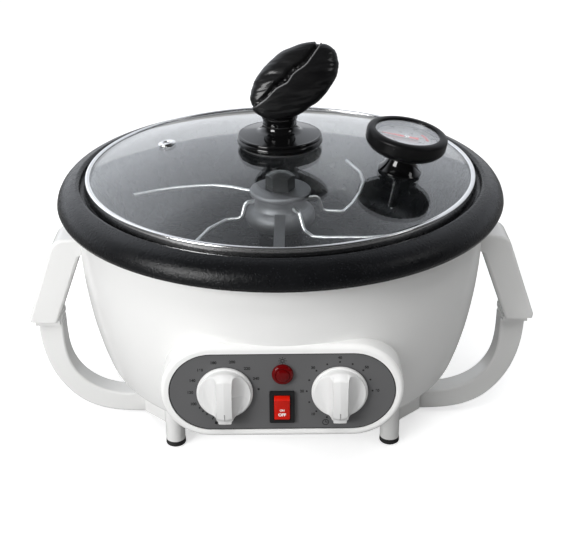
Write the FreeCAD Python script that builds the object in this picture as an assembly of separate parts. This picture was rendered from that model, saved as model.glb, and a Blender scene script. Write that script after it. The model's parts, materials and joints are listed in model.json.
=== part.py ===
import FreeCAD, Part
import math
import os

# Home coffee bean roaster: a heated pan with a driven stirrer under a lift-off glass lid.
# Millimetres. +Z is up, +Y points to the back, the floor is z = 0 and the bowl's axis is x = y = 0.

V = FreeCAD.Vector
UP = V(0, 0, 1)

# ---- driving dimensions: heights above the floor ----
FLOOR_TO_TRAY = 10.0         # lower edge of the base's walls
TRAY_TOP = 44.0              # base's top plate, where the bowl stands
BOWL_EDGE_Z = 66.0           # where the bowl's wall turns under
BOWL_CURVE_Z = 22.0          # lowest point of the ellipse that the bowl's wall follows
BOWL_SHOULDER_Z = 160.0      # where the bowl's curve becomes a straight wall
CASING_TOP = 180.0           # hidden edge of the casing, inside the flange skirt
PAN_FLOOR = 131.0            # top of the pan's floor
COLUMN_TOP = 146.0           # top of the pan's centre column
FLANGE_EDGE_Z = 177.0        # widest line of the pan's flange
FLANGE_CREST_Z = 189.9
LEDGE_Z = 185.2              # ledge in the pan on which the lid stands
DOME_TOP = 209.5             # top of the glass dome
PANEL_Z = 102.9              # middle of the control panel

# ---- driving dimensions: radii and widths ----
FLANGE_R = 150.0
BOWL_R = 137.5
BOWL_FOOT_R = 88.0           # flat bottom of the bowl
BOWL_EDGE_R = 121.0          # outer end of the bowl's sloping underside
BOWL_CURVE_R = 85.0          # radius at which that ellipse has its lowest point
CASING_WALL = 2.5
PAN_WALL = 2.5
LID_RING_R = 132.0
DOME_SPHERE_R = 488.0
GLASS_T = 4.0
PANEL_Y = -137.8             # front face of the control panel at its middle
PANEL_LEAN = 1.4             # degrees that the panel's face looks up
PANEL_L = 134.6
PANEL_H = 51.0
PANEL_T = 1.5
BOSS_RIM = 5.2               # width of the white rim round the panel
BOSS_PROUD = 0.5
BOSS_WALL = 2.5
BOSS_REACH = 62.0            # how far the boss runs back into the bowl
BASE_WALL = 2.5
BASE_HALF_DEPTH = 36.0
VENT_R = 36.0                # round air inlet under the motor
KNOB_SPACING = 68.0
KNOB_RISE = 0.2              # height of the knobs' axes above the panel's middle
GRIP_DEPTH = 28.0            # width of a handle grip along Y
GRIP_FOOT = 81.8             # underside of the grip
GRIP_SCREW_Z = 141.0
GRIP_SCREW_Y = 7.0
GLAND_Z = 80.0               # height of the cord's entry in the rear wall
GLAND_R = 8.0
ARM_DEPTH = 16.0             # width of a base arm along Y
ARM_TOP = 78.5
LEG_X = 75.5
LEG_Y = 40.4
LEG_R = 7.2
TIP_H = 4.0

# ---- driving dimensions: what stands under the pan ----
STANDOFF_R = 54.0
STANDOFF_ANGLES = (65.0, 155.0, 245.0, 335.0)
BRACKET_Z = 96.0
SHIELD_Z = 108.0
MOTOR_R = 29.0
MOTOR_Z = 50.0
GEARBOX_Z = 82.0
SHAFT_R = 4.0
RUNNING = 0.06               # radial running clearance
SLIP = 0.1                   # radial clearance of a screw in its hole

# ---- driving dimensions: stirrer ----
HUB_BOTTOM = 148.5
HUB_TOP = HUB_BOTTOM + 23.0
CAP_TOP = HUB_TOP + 4.0
SHAFT_TOP = CAP_TOP + 6.5
WIRE_R = 1.3

# ---- driving dimensions: lid furniture ----
BEAN_LONG = 33.0
BEAN_WIDE = 20.4
BEAN_BACK = 15.0
BEAN_FRONT = 10.5
BEAN_CENTRE = V(10.0, -1.0, 253.3)
BEAN_TILT = 37.0             # degrees of the long axis above the horizontal
BEAN_FACE_UP = 24.0          # degrees that the creased face looks up
KNOB_SEAT = DOME_TOP + 0.8    # underside of the knob's foot
NECK_TOP = DOME_TOP + 27.5
NECK_R = 11.4                  # knob's neck, inside the bean's collar
GAUGE_XY = (77.0, -34.0)
VENT_XY = (-78.0, 19.0)

# ---- driving dimensions: element, controls and thermometer ----
ELEMENT_R = 76.0
ELEMENT_TUBE_R = 3.3
ELEMENT_Z = PAN_FLOOR - PAN_WALL - ELEMENT_TUBE_R
ELEMENT_GAP = 24.0           # degrees left open at the back for the cold ends
ELEMENT_BEND = 8.0
ROCKER_R = 8.1
ROCKER_W = 9.4
ROCKER_TRAVEL = 20.0
SPINDLE_R = 3.0
KNOB_R = 16.7
KNOB_BODY_R = 15.6
KNOB_TOP = 12.1
KNOB_BAR = 8.9               # width of the grip bar's top
KNOB_TAB = 7.9                 # width of the pointer tab
KNOB_TIP = 17.2              # reach of the pointer tab below the axis
PROBE_R = 2.5
PROBE_END = -29.0
CASE_LOW = 15.0
DIAL_H = 21.4
LENS_LOW = 25.7
GAUGE_REST = 172.0           # direction of the pointer at rest, degrees from the dial's right


# ---------------------------------------------------------------- helpers

def edges_through(start, steps):
    """Edges of an open outline in the XZ plane: a step is (r, z), or a pair of points for an arc."""
    edges = []
    here = V(start[0], 0, start[1])
    for step in steps:
        if isinstance(step[0], tuple):
            middle = V(step[0][0], 0, step[0][1])
            there = V(step[1][0], 0, step[1][1])
            edges.append(Part.Arc(here, middle, there).toShape())
        else:
            there = V(step[0], 0, step[1])
            edges.append(Part.LineSegment(here, there).toShape())
        here = there
    return edges


def turned(start, *steps):
    """Solid of revolution about Z of a closed outline; the last point joins the first."""
    edges = edges_through(start, list(steps) + [start])
    return Part.Face(Part.Wire(edges)).revolve(V(0, 0, 0), UP, 360)


def crown(r, z, rise):
    """Steps of a domed top from (r, z) up to the axis, as an arc about a centre on the axis."""
    radius = (r * r + rise * rise) / (2 * rise)
    centre = z + rise - radius
    half = math.asin(r / radius) / 2
    return [((radius * math.sin(half), centre + radius * math.cos(half)), (0, z + rise))]


def tube(r_out, r_in, z0, z1):
    """Plain ring or tube between two heights."""
    return turned((r_in, z0), (r_out, z0), (r_out, z1), (r_in, z1))


def rod(radius, z0, z1, x=0.0, y=0.0):
    return Part.makeCylinder(radius, z1 - z0, V(x, y, z0))


def block(x0, x1, y0, y1, z0, z1):
    return Part.makeBox(x1 - x0, y1 - y0, z1 - z0, V(x0, y0, z0))


def stadium(length, height, z0, z1):
    """Slab with round ends: length along X, height along Y."""
    radius = height / 2
    reach = length / 2 - radius
    slab = block(-reach, reach, -radius, radius, z0, z1)
    return slab.fuse([rod(radius, z0, z1, -reach), rod(radius, z0, z1, reach)]).removeSplitter()


def hexagon(across_flats, z0, z1):
    radius = across_flats / math.sqrt(3)
    corners = [V(radius * math.cos(math.radians(60 * i)), radius * math.sin(math.radians(60 * i)), z0)
               for i in range(7)]
    return Part.Face(Part.makePolygon(corners)).extrude(V(0, 0, z1 - z0))


def polar(radius, degrees):
    return (radius * math.cos(math.radians(degrees)), radius * math.sin(math.radians(degrees)))


def round_edges(solid, radius, keep):
    """Fillet the edges for which keep(edge) is true."""
    return solid.makeFillet(radius, [edge for edge in solid.Edges if keep(edge)])


def mirrored(solid):
    """Copy on the other side of the YZ plane."""
    return solid.mirror(V(0, 0, 0), V(1, 0, 0))


def bent_rod(points, radius, bend):
    """Round wire along straight runs joined by tangent arcs of one bend radius."""
    edges = []
    here = points[0]
    for i in range(1, len(points) - 1):
        back = (points[i - 1] - points[i]).normalize()
        ahead = (points[i + 1] - points[i]).normalize()
        half = back.getAngle(ahead) / 2
        shortest = min(points[i].distanceToPoint(points[i - 1]), points[i].distanceToPoint(points[i + 1]))
        cut = min(bend / math.tan(half), 0.45 * shortest)
        reach = cut * math.tan(half)
        bisector = (back + ahead).normalize()
        middle = points[i] + bisector * (reach / math.sin(half) - reach)
        edges.append(Part.LineSegment(here, points[i] + back * cut).toShape())
        edges.append(Part.Arc(points[i] + back * cut, middle, points[i] + ahead * cut).toShape())
        here = points[i] + ahead * cut
    edges.append(Part.LineSegment(here, points[-1]).toShape())
    start = Part.makeCircle(radius, points[0], points[1] - points[0])
    return Part.Wire(edges).makePipeShell([Part.Wire(start)], True, False)


def save(name, shape):
    shape.exportStep("parts/" + name + ".step")


# ---------------------------------------------------------------- local frames

# The panel's frame: x to the right, y up along its face, z out of its face.
PANEL_FRAME = FreeCAD.Placement(V(0, PANEL_Y, PANEL_Z), FreeCAD.Rotation(V(1, 0, 0), 90.0 - PANEL_LEAN))
KNOB_AT = {"temperature": V(-KNOB_SPACING / 2, KNOB_RISE, 0), "timer": V(KNOB_SPACING / 2, KNOB_RISE, 0)}
LAMP_AT = V(0.3, 12.2, 0)
SWITCH_AT = V(-0.2, -9.9, 0)
SPHERE_Z = DOME_TOP - DOME_SPHERE_R


def on_panel(shape, at=V(0, 0, 0)):
    """Move a shape from the panel's frame to its place on the roaster."""
    moved = shape.copy()
    moved.translate(at)
    moved.Placement = PANEL_FRAME.multiply(moved.Placement)
    return moved


def dome_frame(xy):
    """Frame on the dome's outer face, with z along the dome's normal and y towards the back."""
    height = math.sqrt(DOME_SPHERE_R ** 2 - xy[0] ** 2 - xy[1] ** 2)
    normal = V(xy[0], xy[1], height).normalize()
    side = V(0, 1, 0).cross(normal).normalize()
    rotation = FreeCAD.Rotation(side, normal.cross(side), normal, "ZXY")
    return FreeCAD.Placement(V(xy[0], xy[1], SPHERE_Z + height), rotation)


def placed(shape, frame):
    moved = shape.copy()
    moved.Placement = frame.multiply(moved.Placement)
    return moved


# ---------------------------------------------------------------- casing and base

def bowl(inset, z_high):
    """Solid of the bowl: a straight rim, an elliptical wall, a sloping underside and a flat bottom."""
    curve_r = BOWL_R - inset
    centre = V(BOWL_CURVE_R, 0, BOWL_SHOULDER_Z)
    low = V(BOWL_CURVE_R, 0, BOWL_CURVE_Z + inset)
    high = V(curve_r, 0, BOWL_SHOULDER_Z)
    reach = math.sqrt(0.5)
    middle = V(BOWL_CURVE_R + (curve_r - BOWL_CURVE_R) * reach, 0,
               BOWL_SHOULDER_Z - (BOWL_SHOULDER_Z - low.z) * reach)
    ellipse = Part.Ellipse(low, high, centre)
    first, half, last = [ellipse.parameter(point) for point in (low, middle, high)]
    if not min(first, last) < half < max(first, last):
        first, last = max(first, last), min(first, last) + 2 * math.pi
    wall = Part.ArcOfEllipse(ellipse, min(first, last), max(first, last)).toShape()
    rest = Part.makePolygon([high, V(curve_r, 0, z_high), V(0, 0, z_high), V(0, 0, low.z), low]).Edges
    body = Part.Face(Part.Wire(Part.__sortEdges__([wall] + rest))).revolve(V(0, 0, 0), UP, 360)
    slope = (BOWL_EDGE_Z - 4 - TRAY_TOP) / (BOWL_EDGE_R - BOWL_FOOT_R)
    floor = TRAY_TOP + inset
    foot_r = BOWL_FOOT_R - 0.3 * inset
    wide = 160.0
    above = turned((0, floor), (foot_r, floor), (wide, floor + slope * (wide - foot_r)), (wide, z_high),
                   (0, z_high))
    return body.common(above)


def bowl_radius(z):
    """Radius of the bowl's outer face at a height between its edge and its shoulder."""
    drop = (BOWL_SHOULDER_Z - z) / (BOWL_SHOULDER_Z - BOWL_CURVE_Z)
    return BOWL_CURVE_R + (BOWL_R - BOWL_CURVE_R) * math.sqrt(1 - drop ** 2)


def panel_boss(grow, z0, z1):
    """Solid of the boss that carries the panel, larger than the panel by grow all round."""
    return on_panel(stadium(PANEL_L + 2 * grow, PANEL_H + 2 * grow, z0, z1))


def boss_outside():
    slab = stadium(PANEL_L + 2 * BOSS_RIM, PANEL_H + 2 * BOSS_RIM, -BOSS_REACH, BOSS_PROUD)
    front = BOSS_PROUD
    rounded = round_edges(slab, 3.0, lambda e: all(abs(v.Z - front) < 1e-6 for v in e.Vertexes)
                          and abs(e.BoundBox.ZLength) < 1e-6)
    return on_panel(rounded)


def outer_casing():
    """Hollow moulded bowl with the panel's boss, its vent opening, screw holes and rear cord hole."""
    edge_r = bowl_radius(BOWL_EDGE_Z)
    body = bowl(0.0, CASING_TOP)
    body = round_edges(body, 5.0, lambda e: e.BoundBox.ZLength < 1e-3 and abs(e.BoundBox.XMax - edge_r) < 3)
    shell = body.fuse(boss_outside())
    inside = bowl(CASING_WALL, CASING_TOP + 1)
    boss_inside = panel_boss(BOSS_RIM - BOSS_WALL, -BOSS_REACH, -PANEL_T - BOSS_WALL)
    shell = shell.cut(inside).cut(boss_inside).cut(panel_boss(0.2, -PANEL_T, BOSS_PROUD + 1))
    for at in KNOB_AT.values():
        shell = shell.cut(on_panel(rod(4.6, -8, 0), at))
    shell = shell.cut(on_panel(rod(5.3, -8, 0), LAMP_AT))
    shell = shell.cut(on_panel(block(-6.8, 6.8, -9.8, 9.8, -8, 0), SWITCH_AT))
    shell = shell.cut(rod(VENT_R, TRAY_TOP - 1, TRAY_TOP + 4))
    for degrees in STANDOFF_ANGLES:
        x, y = polar(STANDOFF_R, degrees)
        shell = shell.cut(rod(1.9, TRAY_TOP - 1, TRAY_TOP + 4, x, y))
    shell = shell.cut(gland_hole())
    for side in (-1, 1):
        for y in (-GRIP_SCREW_Y, GRIP_SCREW_Y):
            shell = shell.cut(Part.makeCylinder(1.9, 10, V(side * 130, y, GRIP_SCREW_Z), V(side, 0, 0)))
    return shell.removeSplitter()


def gland_hole():
    return Part.makeCylinder(GLAND_R, 40, V(0, 110, GLAND_Z), V(0, 1, 0))


def arm_outline():
    """Front view of one arm of the base: a curved bar from the base out and up to the grip's foot."""
    outer = Part.BSplineCurve()
    outer.interpolate([V(101.3, 0, 4.2), V(114.4, 0, 4.6), V(130.0, 0, 7.0), V(143.8, 0, 13.0),
                       V(157.0, 0, 25.4), V(166.6, 0, 42.5), V(171.4, 0, 61.0), V(172.6, 0, ARM_TOP)])
    inner = Part.BSplineCurve()
    inner.interpolate([V(104.0, 0, 18.8), V(121.0, 0, 20.4), V(135.0, 0, 25.6), V(145.2, 0, 34.0),
                       V(151.8, 0, 45.0), V(155.0, 0, 60.0), V(155.6, 0, ARM_TOP)])
    ends = Part.makePolygon([V(104.0, 0, 18.8), V(80, 0, 22), V(80, 0, 10), V(101.3, 0, 4.2)]).Edges
    top = Part.LineSegment(V(172.6, 0, ARM_TOP), V(155.6, 0, ARM_TOP)).toShape()
    wire = Part.Wire(Part.__sortEdges__([outer.toShape(), inner.toShape(), top] + ends))
    return Part.Face(wire)


def base_arm():
    """Right arm as a bar of even depth with softened edges."""
    arm = arm_outline().extrude(V(0, ARM_DEPTH, 0))
    arm.translate(V(0, -ARM_DEPTH / 2, 0))
    return round_edges(arm, 1.4, lambda e: e.BoundBox.YLength < 1e-3 and e.BoundBox.XLength > 30
                       and e.BoundBox.ZLength > 30)


def base_plan(inset, z0, z1):
    """Solid of the base's plan: long sides, slanting facets at the corners and narrow ends."""
    quarter = [V(99.3 - inset, 17.0 - inset / 3, z0), V(84.5 - inset, 30.0 - inset / 2, z0),
               V(80.0 - inset, BASE_HALF_DEPTH - inset, z0)]
    points = quarter[::-1] + [V(p.x, -p.y, z0) for p in quarter]
    points += [V(-p.x, -p.y, z0) for p in quarter[::-1]] + [V(-p.x, p.y, z0) for p in quarter]
    return Part.Face(Part.makePolygon(points + [points[0]])).extrude(V(0, 0, z1 - z0))


def on_base(degrees):
    """True for a standoff that stands over the base rather than beside it."""
    return abs(polar(STANDOFF_R, degrees)[1]) < BASE_HALF_DEPTH - 6


def base_frame():
    """Base with walls, four legs and the two arms that carry the grips; cored from below and ribbed."""
    plate = TRAY_TOP - BASE_WALL
    frame = base_plan(0, FLOOR_TO_TRAY, TRAY_TOP + 14)
    for x in (-LEG_X, LEG_X):
        for y in (-LEG_Y, LEG_Y):
            frame = frame.fuse(Part.makeCone(LEG_R - 0.5, LEG_R, plate - TIP_H, V(x, y, TIP_H)))
    arm = base_arm()
    frame = frame.fuse([arm, mirrored(arm)])
    frame = frame.cut(base_plan(BASE_WALL, FLOOR_TO_TRAY - 8, plate))
    ribs = [block(-95, 95, y - 1, y + 1, FLOOR_TO_TRAY + 2, plate) for y in (-12, 12)]
    ribs += [block(x - 1, x + 1, -35, 35, FLOOR_TO_TRAY + 2, plate) for x in (-68, -42, 42, 68)]
    frame = frame.fuse(ribs)
    frame = frame.cut(rod(VENT_R, 0, plate))
    frame = frame.fuse(tube(VENT_R + 2, VENT_R, FLOOR_TO_TRAY + 2, plate + 1).common(base_plan(1, 0, 60)))
    bosses = [polar(STANDOFF_R, degrees) for degrees in STANDOFF_ANGLES if on_base(degrees)]
    for x, y in bosses:
        frame = frame.fuse(rod(5.5, FLOOR_TO_TRAY + 6, TRAY_TOP - 1, x, y))
    frame = frame.cut(bowl(0.0, CASING_TOP)).removeSplitter()
    for x, y in bosses:
        frame = frame.cut(rod(1.9, 8, TRAY_TOP + 1, x, y)).cut(rod(3.6, 8, TRAY_TOP - 5, x, y))
    for x in (-LEG_X, LEG_X):
        for y in (-LEG_Y, LEG_Y):
            frame = frame.cut(rod(3.5, 0, TIP_H + 6, x, y))
    for x in range(-28, 29, 8):
        reach = math.sqrt((VENT_R - 3) ** 2 - x ** 2)
        frame = frame.cut(block(x - 1.5, x + 1.5, -reach, reach, plate - 1, TRAY_TOP + 1))
    return frame.removeSplitter()


def rubber_feet():
    feet = []
    for x in (-LEG_X, LEG_X):
        for y in (-LEG_Y, LEG_Y):
            foot = turned((0, 0), (6.0, 0), ((6.7, 0.3), (7.0, 1.0)), (6.8, TIP_H), (3.5, TIP_H),
                          (3.5, TIP_H + 6), (0, TIP_H + 6))
            foot.translate(V(x, y, 0))
            feet.append(foot)
    return Part.makeCompound(feet)


def handle_grip(side):
    """Slab grip between the casing's shoulder and the arm, with a stepped foot."""
    edges = edges_through((134.0, 147.0), [
        (150.0, 145.4),
        ((155.2, 143.4), (158.4, 138.6)),
        (177.4, 84.6),
        (176.8, GRIP_FOOT),
        (157.6, GRIP_FOOT),
        (138.5, 133.7),
        (134.0, 135.5),
        (134.0, 147.0)])
    grip = Part.Face(Part.Wire(edges)).extrude(V(0, GRIP_DEPTH, 0))
    grip.translate(V(0, -GRIP_DEPTH / 2, 0))
    grip = round_edges(grip, 2.2, lambda e: e.BoundBox.YLength < 1e-6 and e.BoundBox.XMax > 150
                       and e.BoundBox.ZMax > GRIP_FOOT + 1)
    lip = block(156.6, 173.6, -GRIP_DEPTH / 2 + 2, GRIP_DEPTH / 2 - 2, ARM_TOP, GRIP_FOOT + 0.5)
    grip = grip.fuse(lip).cut(bowl(0.0, CASING_TOP))
    for y in (-GRIP_SCREW_Y, GRIP_SCREW_Y):
        grip = grip.cut(Part.makeCylinder(1.9, 14, V(134, y, GRIP_SCREW_Z), V(1, 0, 0)))
    grip = grip.removeSplitter()
    return grip if side > 0 else mirrored(grip)


def grip_screws():
    """Pan-head screws, driven from inside the casing into the grips."""
    screws = []
    face = bowl_radius(GRIP_SCREW_Z) - CASING_WALL
    start = math.sqrt(face ** 2 - GRIP_SCREW_Y ** 2) - 0.3
    for side in (-1, 1):
        for y in (-GRIP_SCREW_Y, GRIP_SCREW_Y):
            head = Part.makeCylinder(2.8, 2.0, V(side * (start - 2.0), y, GRIP_SCREW_Z), V(side, 0, 0))
            shank = Part.makeCylinder(1.8, 12.0, V(side * start, y, GRIP_SCREW_Z), V(side, 0, 0))
            screws.append(head.fuse(shank).removeSplitter())
    casing = bowl(0.0, CASING_TOP).cut(bowl(CASING_WALL, CASING_TOP + 1))
    for side in (-1, 1):
        for y in (-GRIP_SCREW_Y, GRIP_SCREW_Y):
            casing = casing.cut(Part.makeCylinder(1.9, 10, V(side * 130, y, GRIP_SCREW_Z), V(side, 0, 0)))
    return Part.makeCompound([screw.cut(casing) for screw in screws])


def base_screws():
    """Screws that hold the casing's floor, two of them with the base, to the standoffs."""
    screws = []
    for degrees in STANDOFF_ANGLES:
        x, y = polar(STANDOFF_R, degrees)
        seat = TRAY_TOP - 5.0 if on_base(degrees) else TRAY_TOP
        head = rod(3.4, seat - 2.2, seat, x, y)
        screws.append(head.fuse(rod(1.8, seat, TRAY_TOP + 12, x, y)).removeSplitter())
    return Part.makeCompound(screws)


# ---------------------------------------------------------------- pan and what hangs under it

def roasting_pan():
    """One casting: convex flange, lid ledge, tapered wall, flat floor and centre column."""
    floor = PAN_FLOOR
    under = PAN_FLOOR - PAN_WALL
    edge = FLANGE_EDGE_Z
    ledge = LEDGE_Z - 2.2
    pan = turned(
        (148.9, edge - 2.5), (FLANGE_R, edge), ((146.4, edge + 8.2), (138.0, FLANGE_CREST_Z)),
        ((135.6, edge + 12.7), (134.5, edge + 11.0)), (134.3, LEDGE_Z), (127.4, LEDGE_Z),
        ((125.8, LEDGE_Z - 0.6), (124.9, LEDGE_Z - 2.0)), (106.0, floor + 8.0),
        ((102.8, floor + 2.4), (97.0, floor)), (19.5, floor), ((16.7, floor + 1.2), (15.5, floor + 4.0)),
        (15.5, COLUMN_TOP - 2.0), ((15.0, COLUMN_TOP - 0.5), (13.5, COLUMN_TOP)), (7.0, COLUMN_TOP),
        (7.0, COLUMN_TOP - 2.5), (13.0, COLUMN_TOP - 2.5), (13.0, under), (97.6, under),
        ((104.6, floor + 0.4), (108.4, floor + 7.0)), (127.3, ledge - 1.1), (128.2, ledge), (136.6, ledge),
        (137.6, edge + 9.6), ((143.6, edge + 6.2), (147.2, edge - 0.4)), (146.9, edge - 2.5))
    for degrees in STANDOFF_ANGLES:
        x, y = polar(STANDOFF_R, degrees)
        pan = pan.cut(rod(2.1, under - 5, floor + 5, x, y))
    return pan


def rim_gasket():
    return tube(137.4, 132.0, CASING_TOP, LEDGE_Z - 2.2)


def pan_screws():
    """Domed screws through the pan's floor into the standoffs."""
    screws = []
    for degrees in STANDOFF_ANGLES:
        x, y = polar(STANDOFF_R, degrees)
        screw = turned((0, PAN_FLOOR), (4.2, PAN_FLOOR), (4.2, PAN_FLOOR + 0.8),
                       *crown(4.2, PAN_FLOOR + 0.8, 1.4))
        screw.translate(V(x, y, 0))
        screws.append(screw.fuse(rod(2.0, PAN_FLOOR - 12, PAN_FLOOR, x, y)).removeSplitter())
    return Part.makeCompound(screws)


def pan_standoffs():
    """Stepped pillars: the lower shoulder carries the motor bracket, the upper one the heat shield."""
    low = TRAY_TOP + CASING_WALL
    top = PAN_FLOOR - PAN_WALL
    pillars = []
    for degrees in STANDOFF_ANGLES:
        x, y = polar(STANDOFF_R, degrees)
        pillar = turned((0, low), (6.5, low), (6.5, BRACKET_Z), (5.5, BRACKET_Z), (5.5, SHIELD_Z),
                        (4.0, SHIELD_Z), (4.0, top), (0, top))
        pillar.translate(V(x, y, 0))
        pillar = pillar.cut(rod(1.9, low - 1, low + 12, x, y)).cut(rod(2.1, top - 12, top + 1, x, y))
        pillars.append(pillar)
    return Part.makeCompound(pillars)


def cold_end(sense):
    """Where the ring ends on one side of the gap, and the direction in which it goes on."""
    degrees = 90 - sense * ELEMENT_GAP / 2
    x, y = polar(ELEMENT_R, degrees)
    ahead = V(-math.sin(math.radians(degrees)), math.cos(math.radians(degrees)), 0) * sense
    return V(x, y, ELEMENT_Z), ahead


def heating_element():
    """Tubular ring against the pan's underside, open at the back, with two cold ends bent down."""
    section = Part.Face(Part.Wire(Part.makeCircle(ELEMENT_TUBE_R, V(ELEMENT_R, 0, ELEMENT_Z), V(0, 1, 0))))
    ring = section.revolve(V(0, 0, 0), UP, 360 - ELEMENT_GAP)
    ring.rotate(V(0, 0, 0), UP, 90 + ELEMENT_GAP / 2)
    pieces = []
    for sense in (-1, 1):
        start, ahead = cold_end(sense)
        mouth = Part.Face(Part.Wire(Part.makeCircle(ELEMENT_TUBE_R, start, ahead)))
        pieces.append(mouth.revolve(start - UP * ELEMENT_BEND, UP.cross(ahead), 90))
        foot = start + ahead * ELEMENT_BEND
        pieces.append(rod(ELEMENT_TUBE_R, ELEMENT_Z - 23, ELEMENT_Z - ELEMENT_BEND, foot.x, foot.y))
        pieces.append(rod(1.0, ELEMENT_Z - 31, ELEMENT_Z - 22, foot.x, foot.y))
    return ring.fuse(pieces).removeSplitter()


def element_clips():
    """Three straps screwed under the pan that press the element against it."""
    clips = []
    for degrees in (-150.0, -30.0, 30.0):
        strap = block(-12, 8, -5, 5, ELEMENT_Z - 4.5, PAN_FLOOR - PAN_WALL)
        strap = strap.cut(Part.makeCylinder(ELEMENT_TUBE_R + 0.05, 20, V(0, -10, ELEMENT_Z), V(0, 1, 0)))
        strap = strap.cut(block(-3.35, 3.35, -6, 6, ELEMENT_Z, PAN_FLOOR))
        hollow = block(-10.5, -5, -6, 6, ELEMENT_Z - 3.0, PAN_FLOOR - PAN_WALL - 1.5)
        strap = strap.cut(hollow)
        strap.translate(V(ELEMENT_R, 0, 0))
        strap.rotate(V(0, 0, 0), UP, degrees)
        clips.append(strap)
    element = heating_element()
    return Part.makeCompound([clip.cut(element) for clip in clips])


def heat_shield():
    """Aluminium dish that turns the heat back to the pan, with holes for pillars, shaft and cold ends."""
    low = SHIELD_Z
    dish = turned((12.0, low), (92.0, low), ((95.2, low + 1.2), (96.8, low + 4.0)), (98.6, low + 10.0),
                  (97.8, low + 10.2), (96.0, low + 4.4), ((94.6, low + 1.9), (91.6, low + 0.8)),
                  (12.0, low + 0.8))
    for degrees in STANDOFF_ANGLES:
        x, y = polar(STANDOFF_R, degrees)
        dish = dish.cut(rod(4.2, low - 5, low + 5, x, y))
    for sense in (-1, 1):
        start, ahead = cold_end(sense)
        foot = start + ahead * ELEMENT_BEND
        dish = dish.cut(rod(6.0, low - 5, low + 5, foot.x, foot.y))
    return dish


def motor_bracket():
    """Cross-shaped plate on the pillars' lower shoulders, with the motor hung under it."""
    arms = []
    for degrees in STANDOFF_ANGLES[:2]:
        arm = stadium(2 * (STANDOFF_R + 9.0), 18.0, BRACKET_Z, BRACKET_Z + 2.0)
        arm.rotate(V(0, 0, 0), UP, degrees)
        arms.append(arm)
    plate = rod(30.0, BRACKET_Z, BRACKET_Z + 2.0).fuse(arms).removeSplitter()
    plate = plate.cut(rod(9.0, BRACKET_Z - 1, BRACKET_Z + 3))
    for degrees in STANDOFF_ANGLES:
        x, y = polar(STANDOFF_R, degrees)
        plate = plate.cut(rod(5.6, BRACKET_Z - 1, BRACKET_Z + 3, x, y))
        x, y = polar(20.0, degrees)
        plate = plate.cut(rod(1.9, BRACKET_Z - 1, BRACKET_Z + 3, x, y))
    return plate


def gear_motor():
    """Can of the synchronous motor, with its rolled rim and a terminal tab."""
    can = turned((0, MOTOR_Z), (MOTOR_R - 2, MOTOR_Z),
                 ((MOTOR_R - 0.6, MOTOR_Z + 0.6), (MOTOR_R, MOTOR_Z + 2)), (MOTOR_R, GEARBOX_Z - 2),
                 (MOTOR_R + 1, GEARBOX_Z - 2), (MOTOR_R + 1, GEARBOX_Z), (0, GEARBOX_Z))
    tab = block(-8, 8, MOTOR_R - 2, MOTOR_R + 4, MOTOR_Z + 10, MOTOR_Z + 22)
    return can.fuse(tab).removeSplitter()


def gearbox():
    """Round gear case on the motor, with the output bearing and four tapped ears."""
    well = GEARBOX_Z + 6.0
    case = turned((SHAFT_R + RUNNING, well), (SHAFT_R + RUNNING, BRACKET_Z + 1.0), (8.0, BRACKET_Z + 1.0),
                  (8.0, BRACKET_Z), (26.0, BRACKET_Z), (26.0, GEARBOX_Z), (0, GEARBOX_Z), (0, well))
    for degrees in STANDOFF_ANGLES:
        x, y = polar(20.0, degrees)
        case = case.cut(rod(1.9, BRACKET_Z - 6, BRACKET_Z + 1, x, y))
    return case


def motor_screws():
    screws = []
    for degrees in STANDOFF_ANGLES:
        x, y = polar(20.0, degrees)
        head = rod(3.2, BRACKET_Z + 2.0, BRACKET_Z + 4.0, x, y)
        screws.append(head.fuse(rod(1.8, BRACKET_Z - 5.5, BRACKET_Z + 2.0, x, y)).removeSplitter())
    return Part.makeCompound(screws)


def shaft_bush():
    """Flanged bearing pressed up through the top of the pan's column."""
    bore = SHAFT_R + RUNNING
    plate = COLUMN_TOP - 2.5
    return turned((bore, plate - 9.5), (6.98, plate - 9.5), (6.98, plate - 1.2), (9.5, plate - 1.2),
                  (9.5, plate), (6.98, plate), (6.98, COLUMN_TOP + 0.6), (bore, COLUMN_TOP + 0.6))


def shaft_seal():
    """Soft ring on the column that keeps chaff out of the bearing."""
    top = COLUMN_TOP
    return turned((4.6, top + 0.6), (6.98, top + 0.6), (6.98, top), (11.0, top),
                  ((10.6, top + 1.6), (9.4, top + 2.0)), (4.6, top + 2.0))


def thermal_fuse():
    """Fuse with its clip plate, held under the pan's floor beside the column."""
    under = PAN_FLOOR - PAN_WALL
    plate = block(24, 44, -6, 6, under - 1.0, under)
    body = Part.makeCylinder(2.2, 14, V(27, 0, under - 3.0), V(1, 0, 0))
    leads = Part.makeCylinder(0.6, 24, V(22, 0, under - 3.0), V(1, 0, 0))
    return plate.fuse([body, leads]).removeSplitter()


def thermostat_bulb():
    """Sensing bulb of the thermostat in its saddle under the pan's floor."""
    under = PAN_FLOOR - PAN_WALL
    saddle = block(-16, 16, -42, -30, under - 1.0, under)
    bulb = Part.makeCylinder(2.6, 40, V(-20, -36, under - 3.2), V(1, 0, 0))
    return saddle.fuse(bulb).removeSplitter()


# ---------------------------------------------------------------- control panel

def control_panel():
    """Satin plate with round ends and openings for two spindles, the lamp and the switch."""
    plate = stadium(PANEL_L, PANEL_H, -PANEL_T, 0)
    for at in KNOB_AT.values():
        plate = plate.cut(rod(4.6, -3, 1, at.x, at.y))
    plate = plate.cut(rod(5.3, -3, 1, LAMP_AT.x, LAMP_AT.y))
    opening = block(-6.8, 6.8, -9.8, 9.8, -3, 1)
    opening.translate(SWITCH_AT)
    return on_panel(plate.cut(opening))


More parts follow.
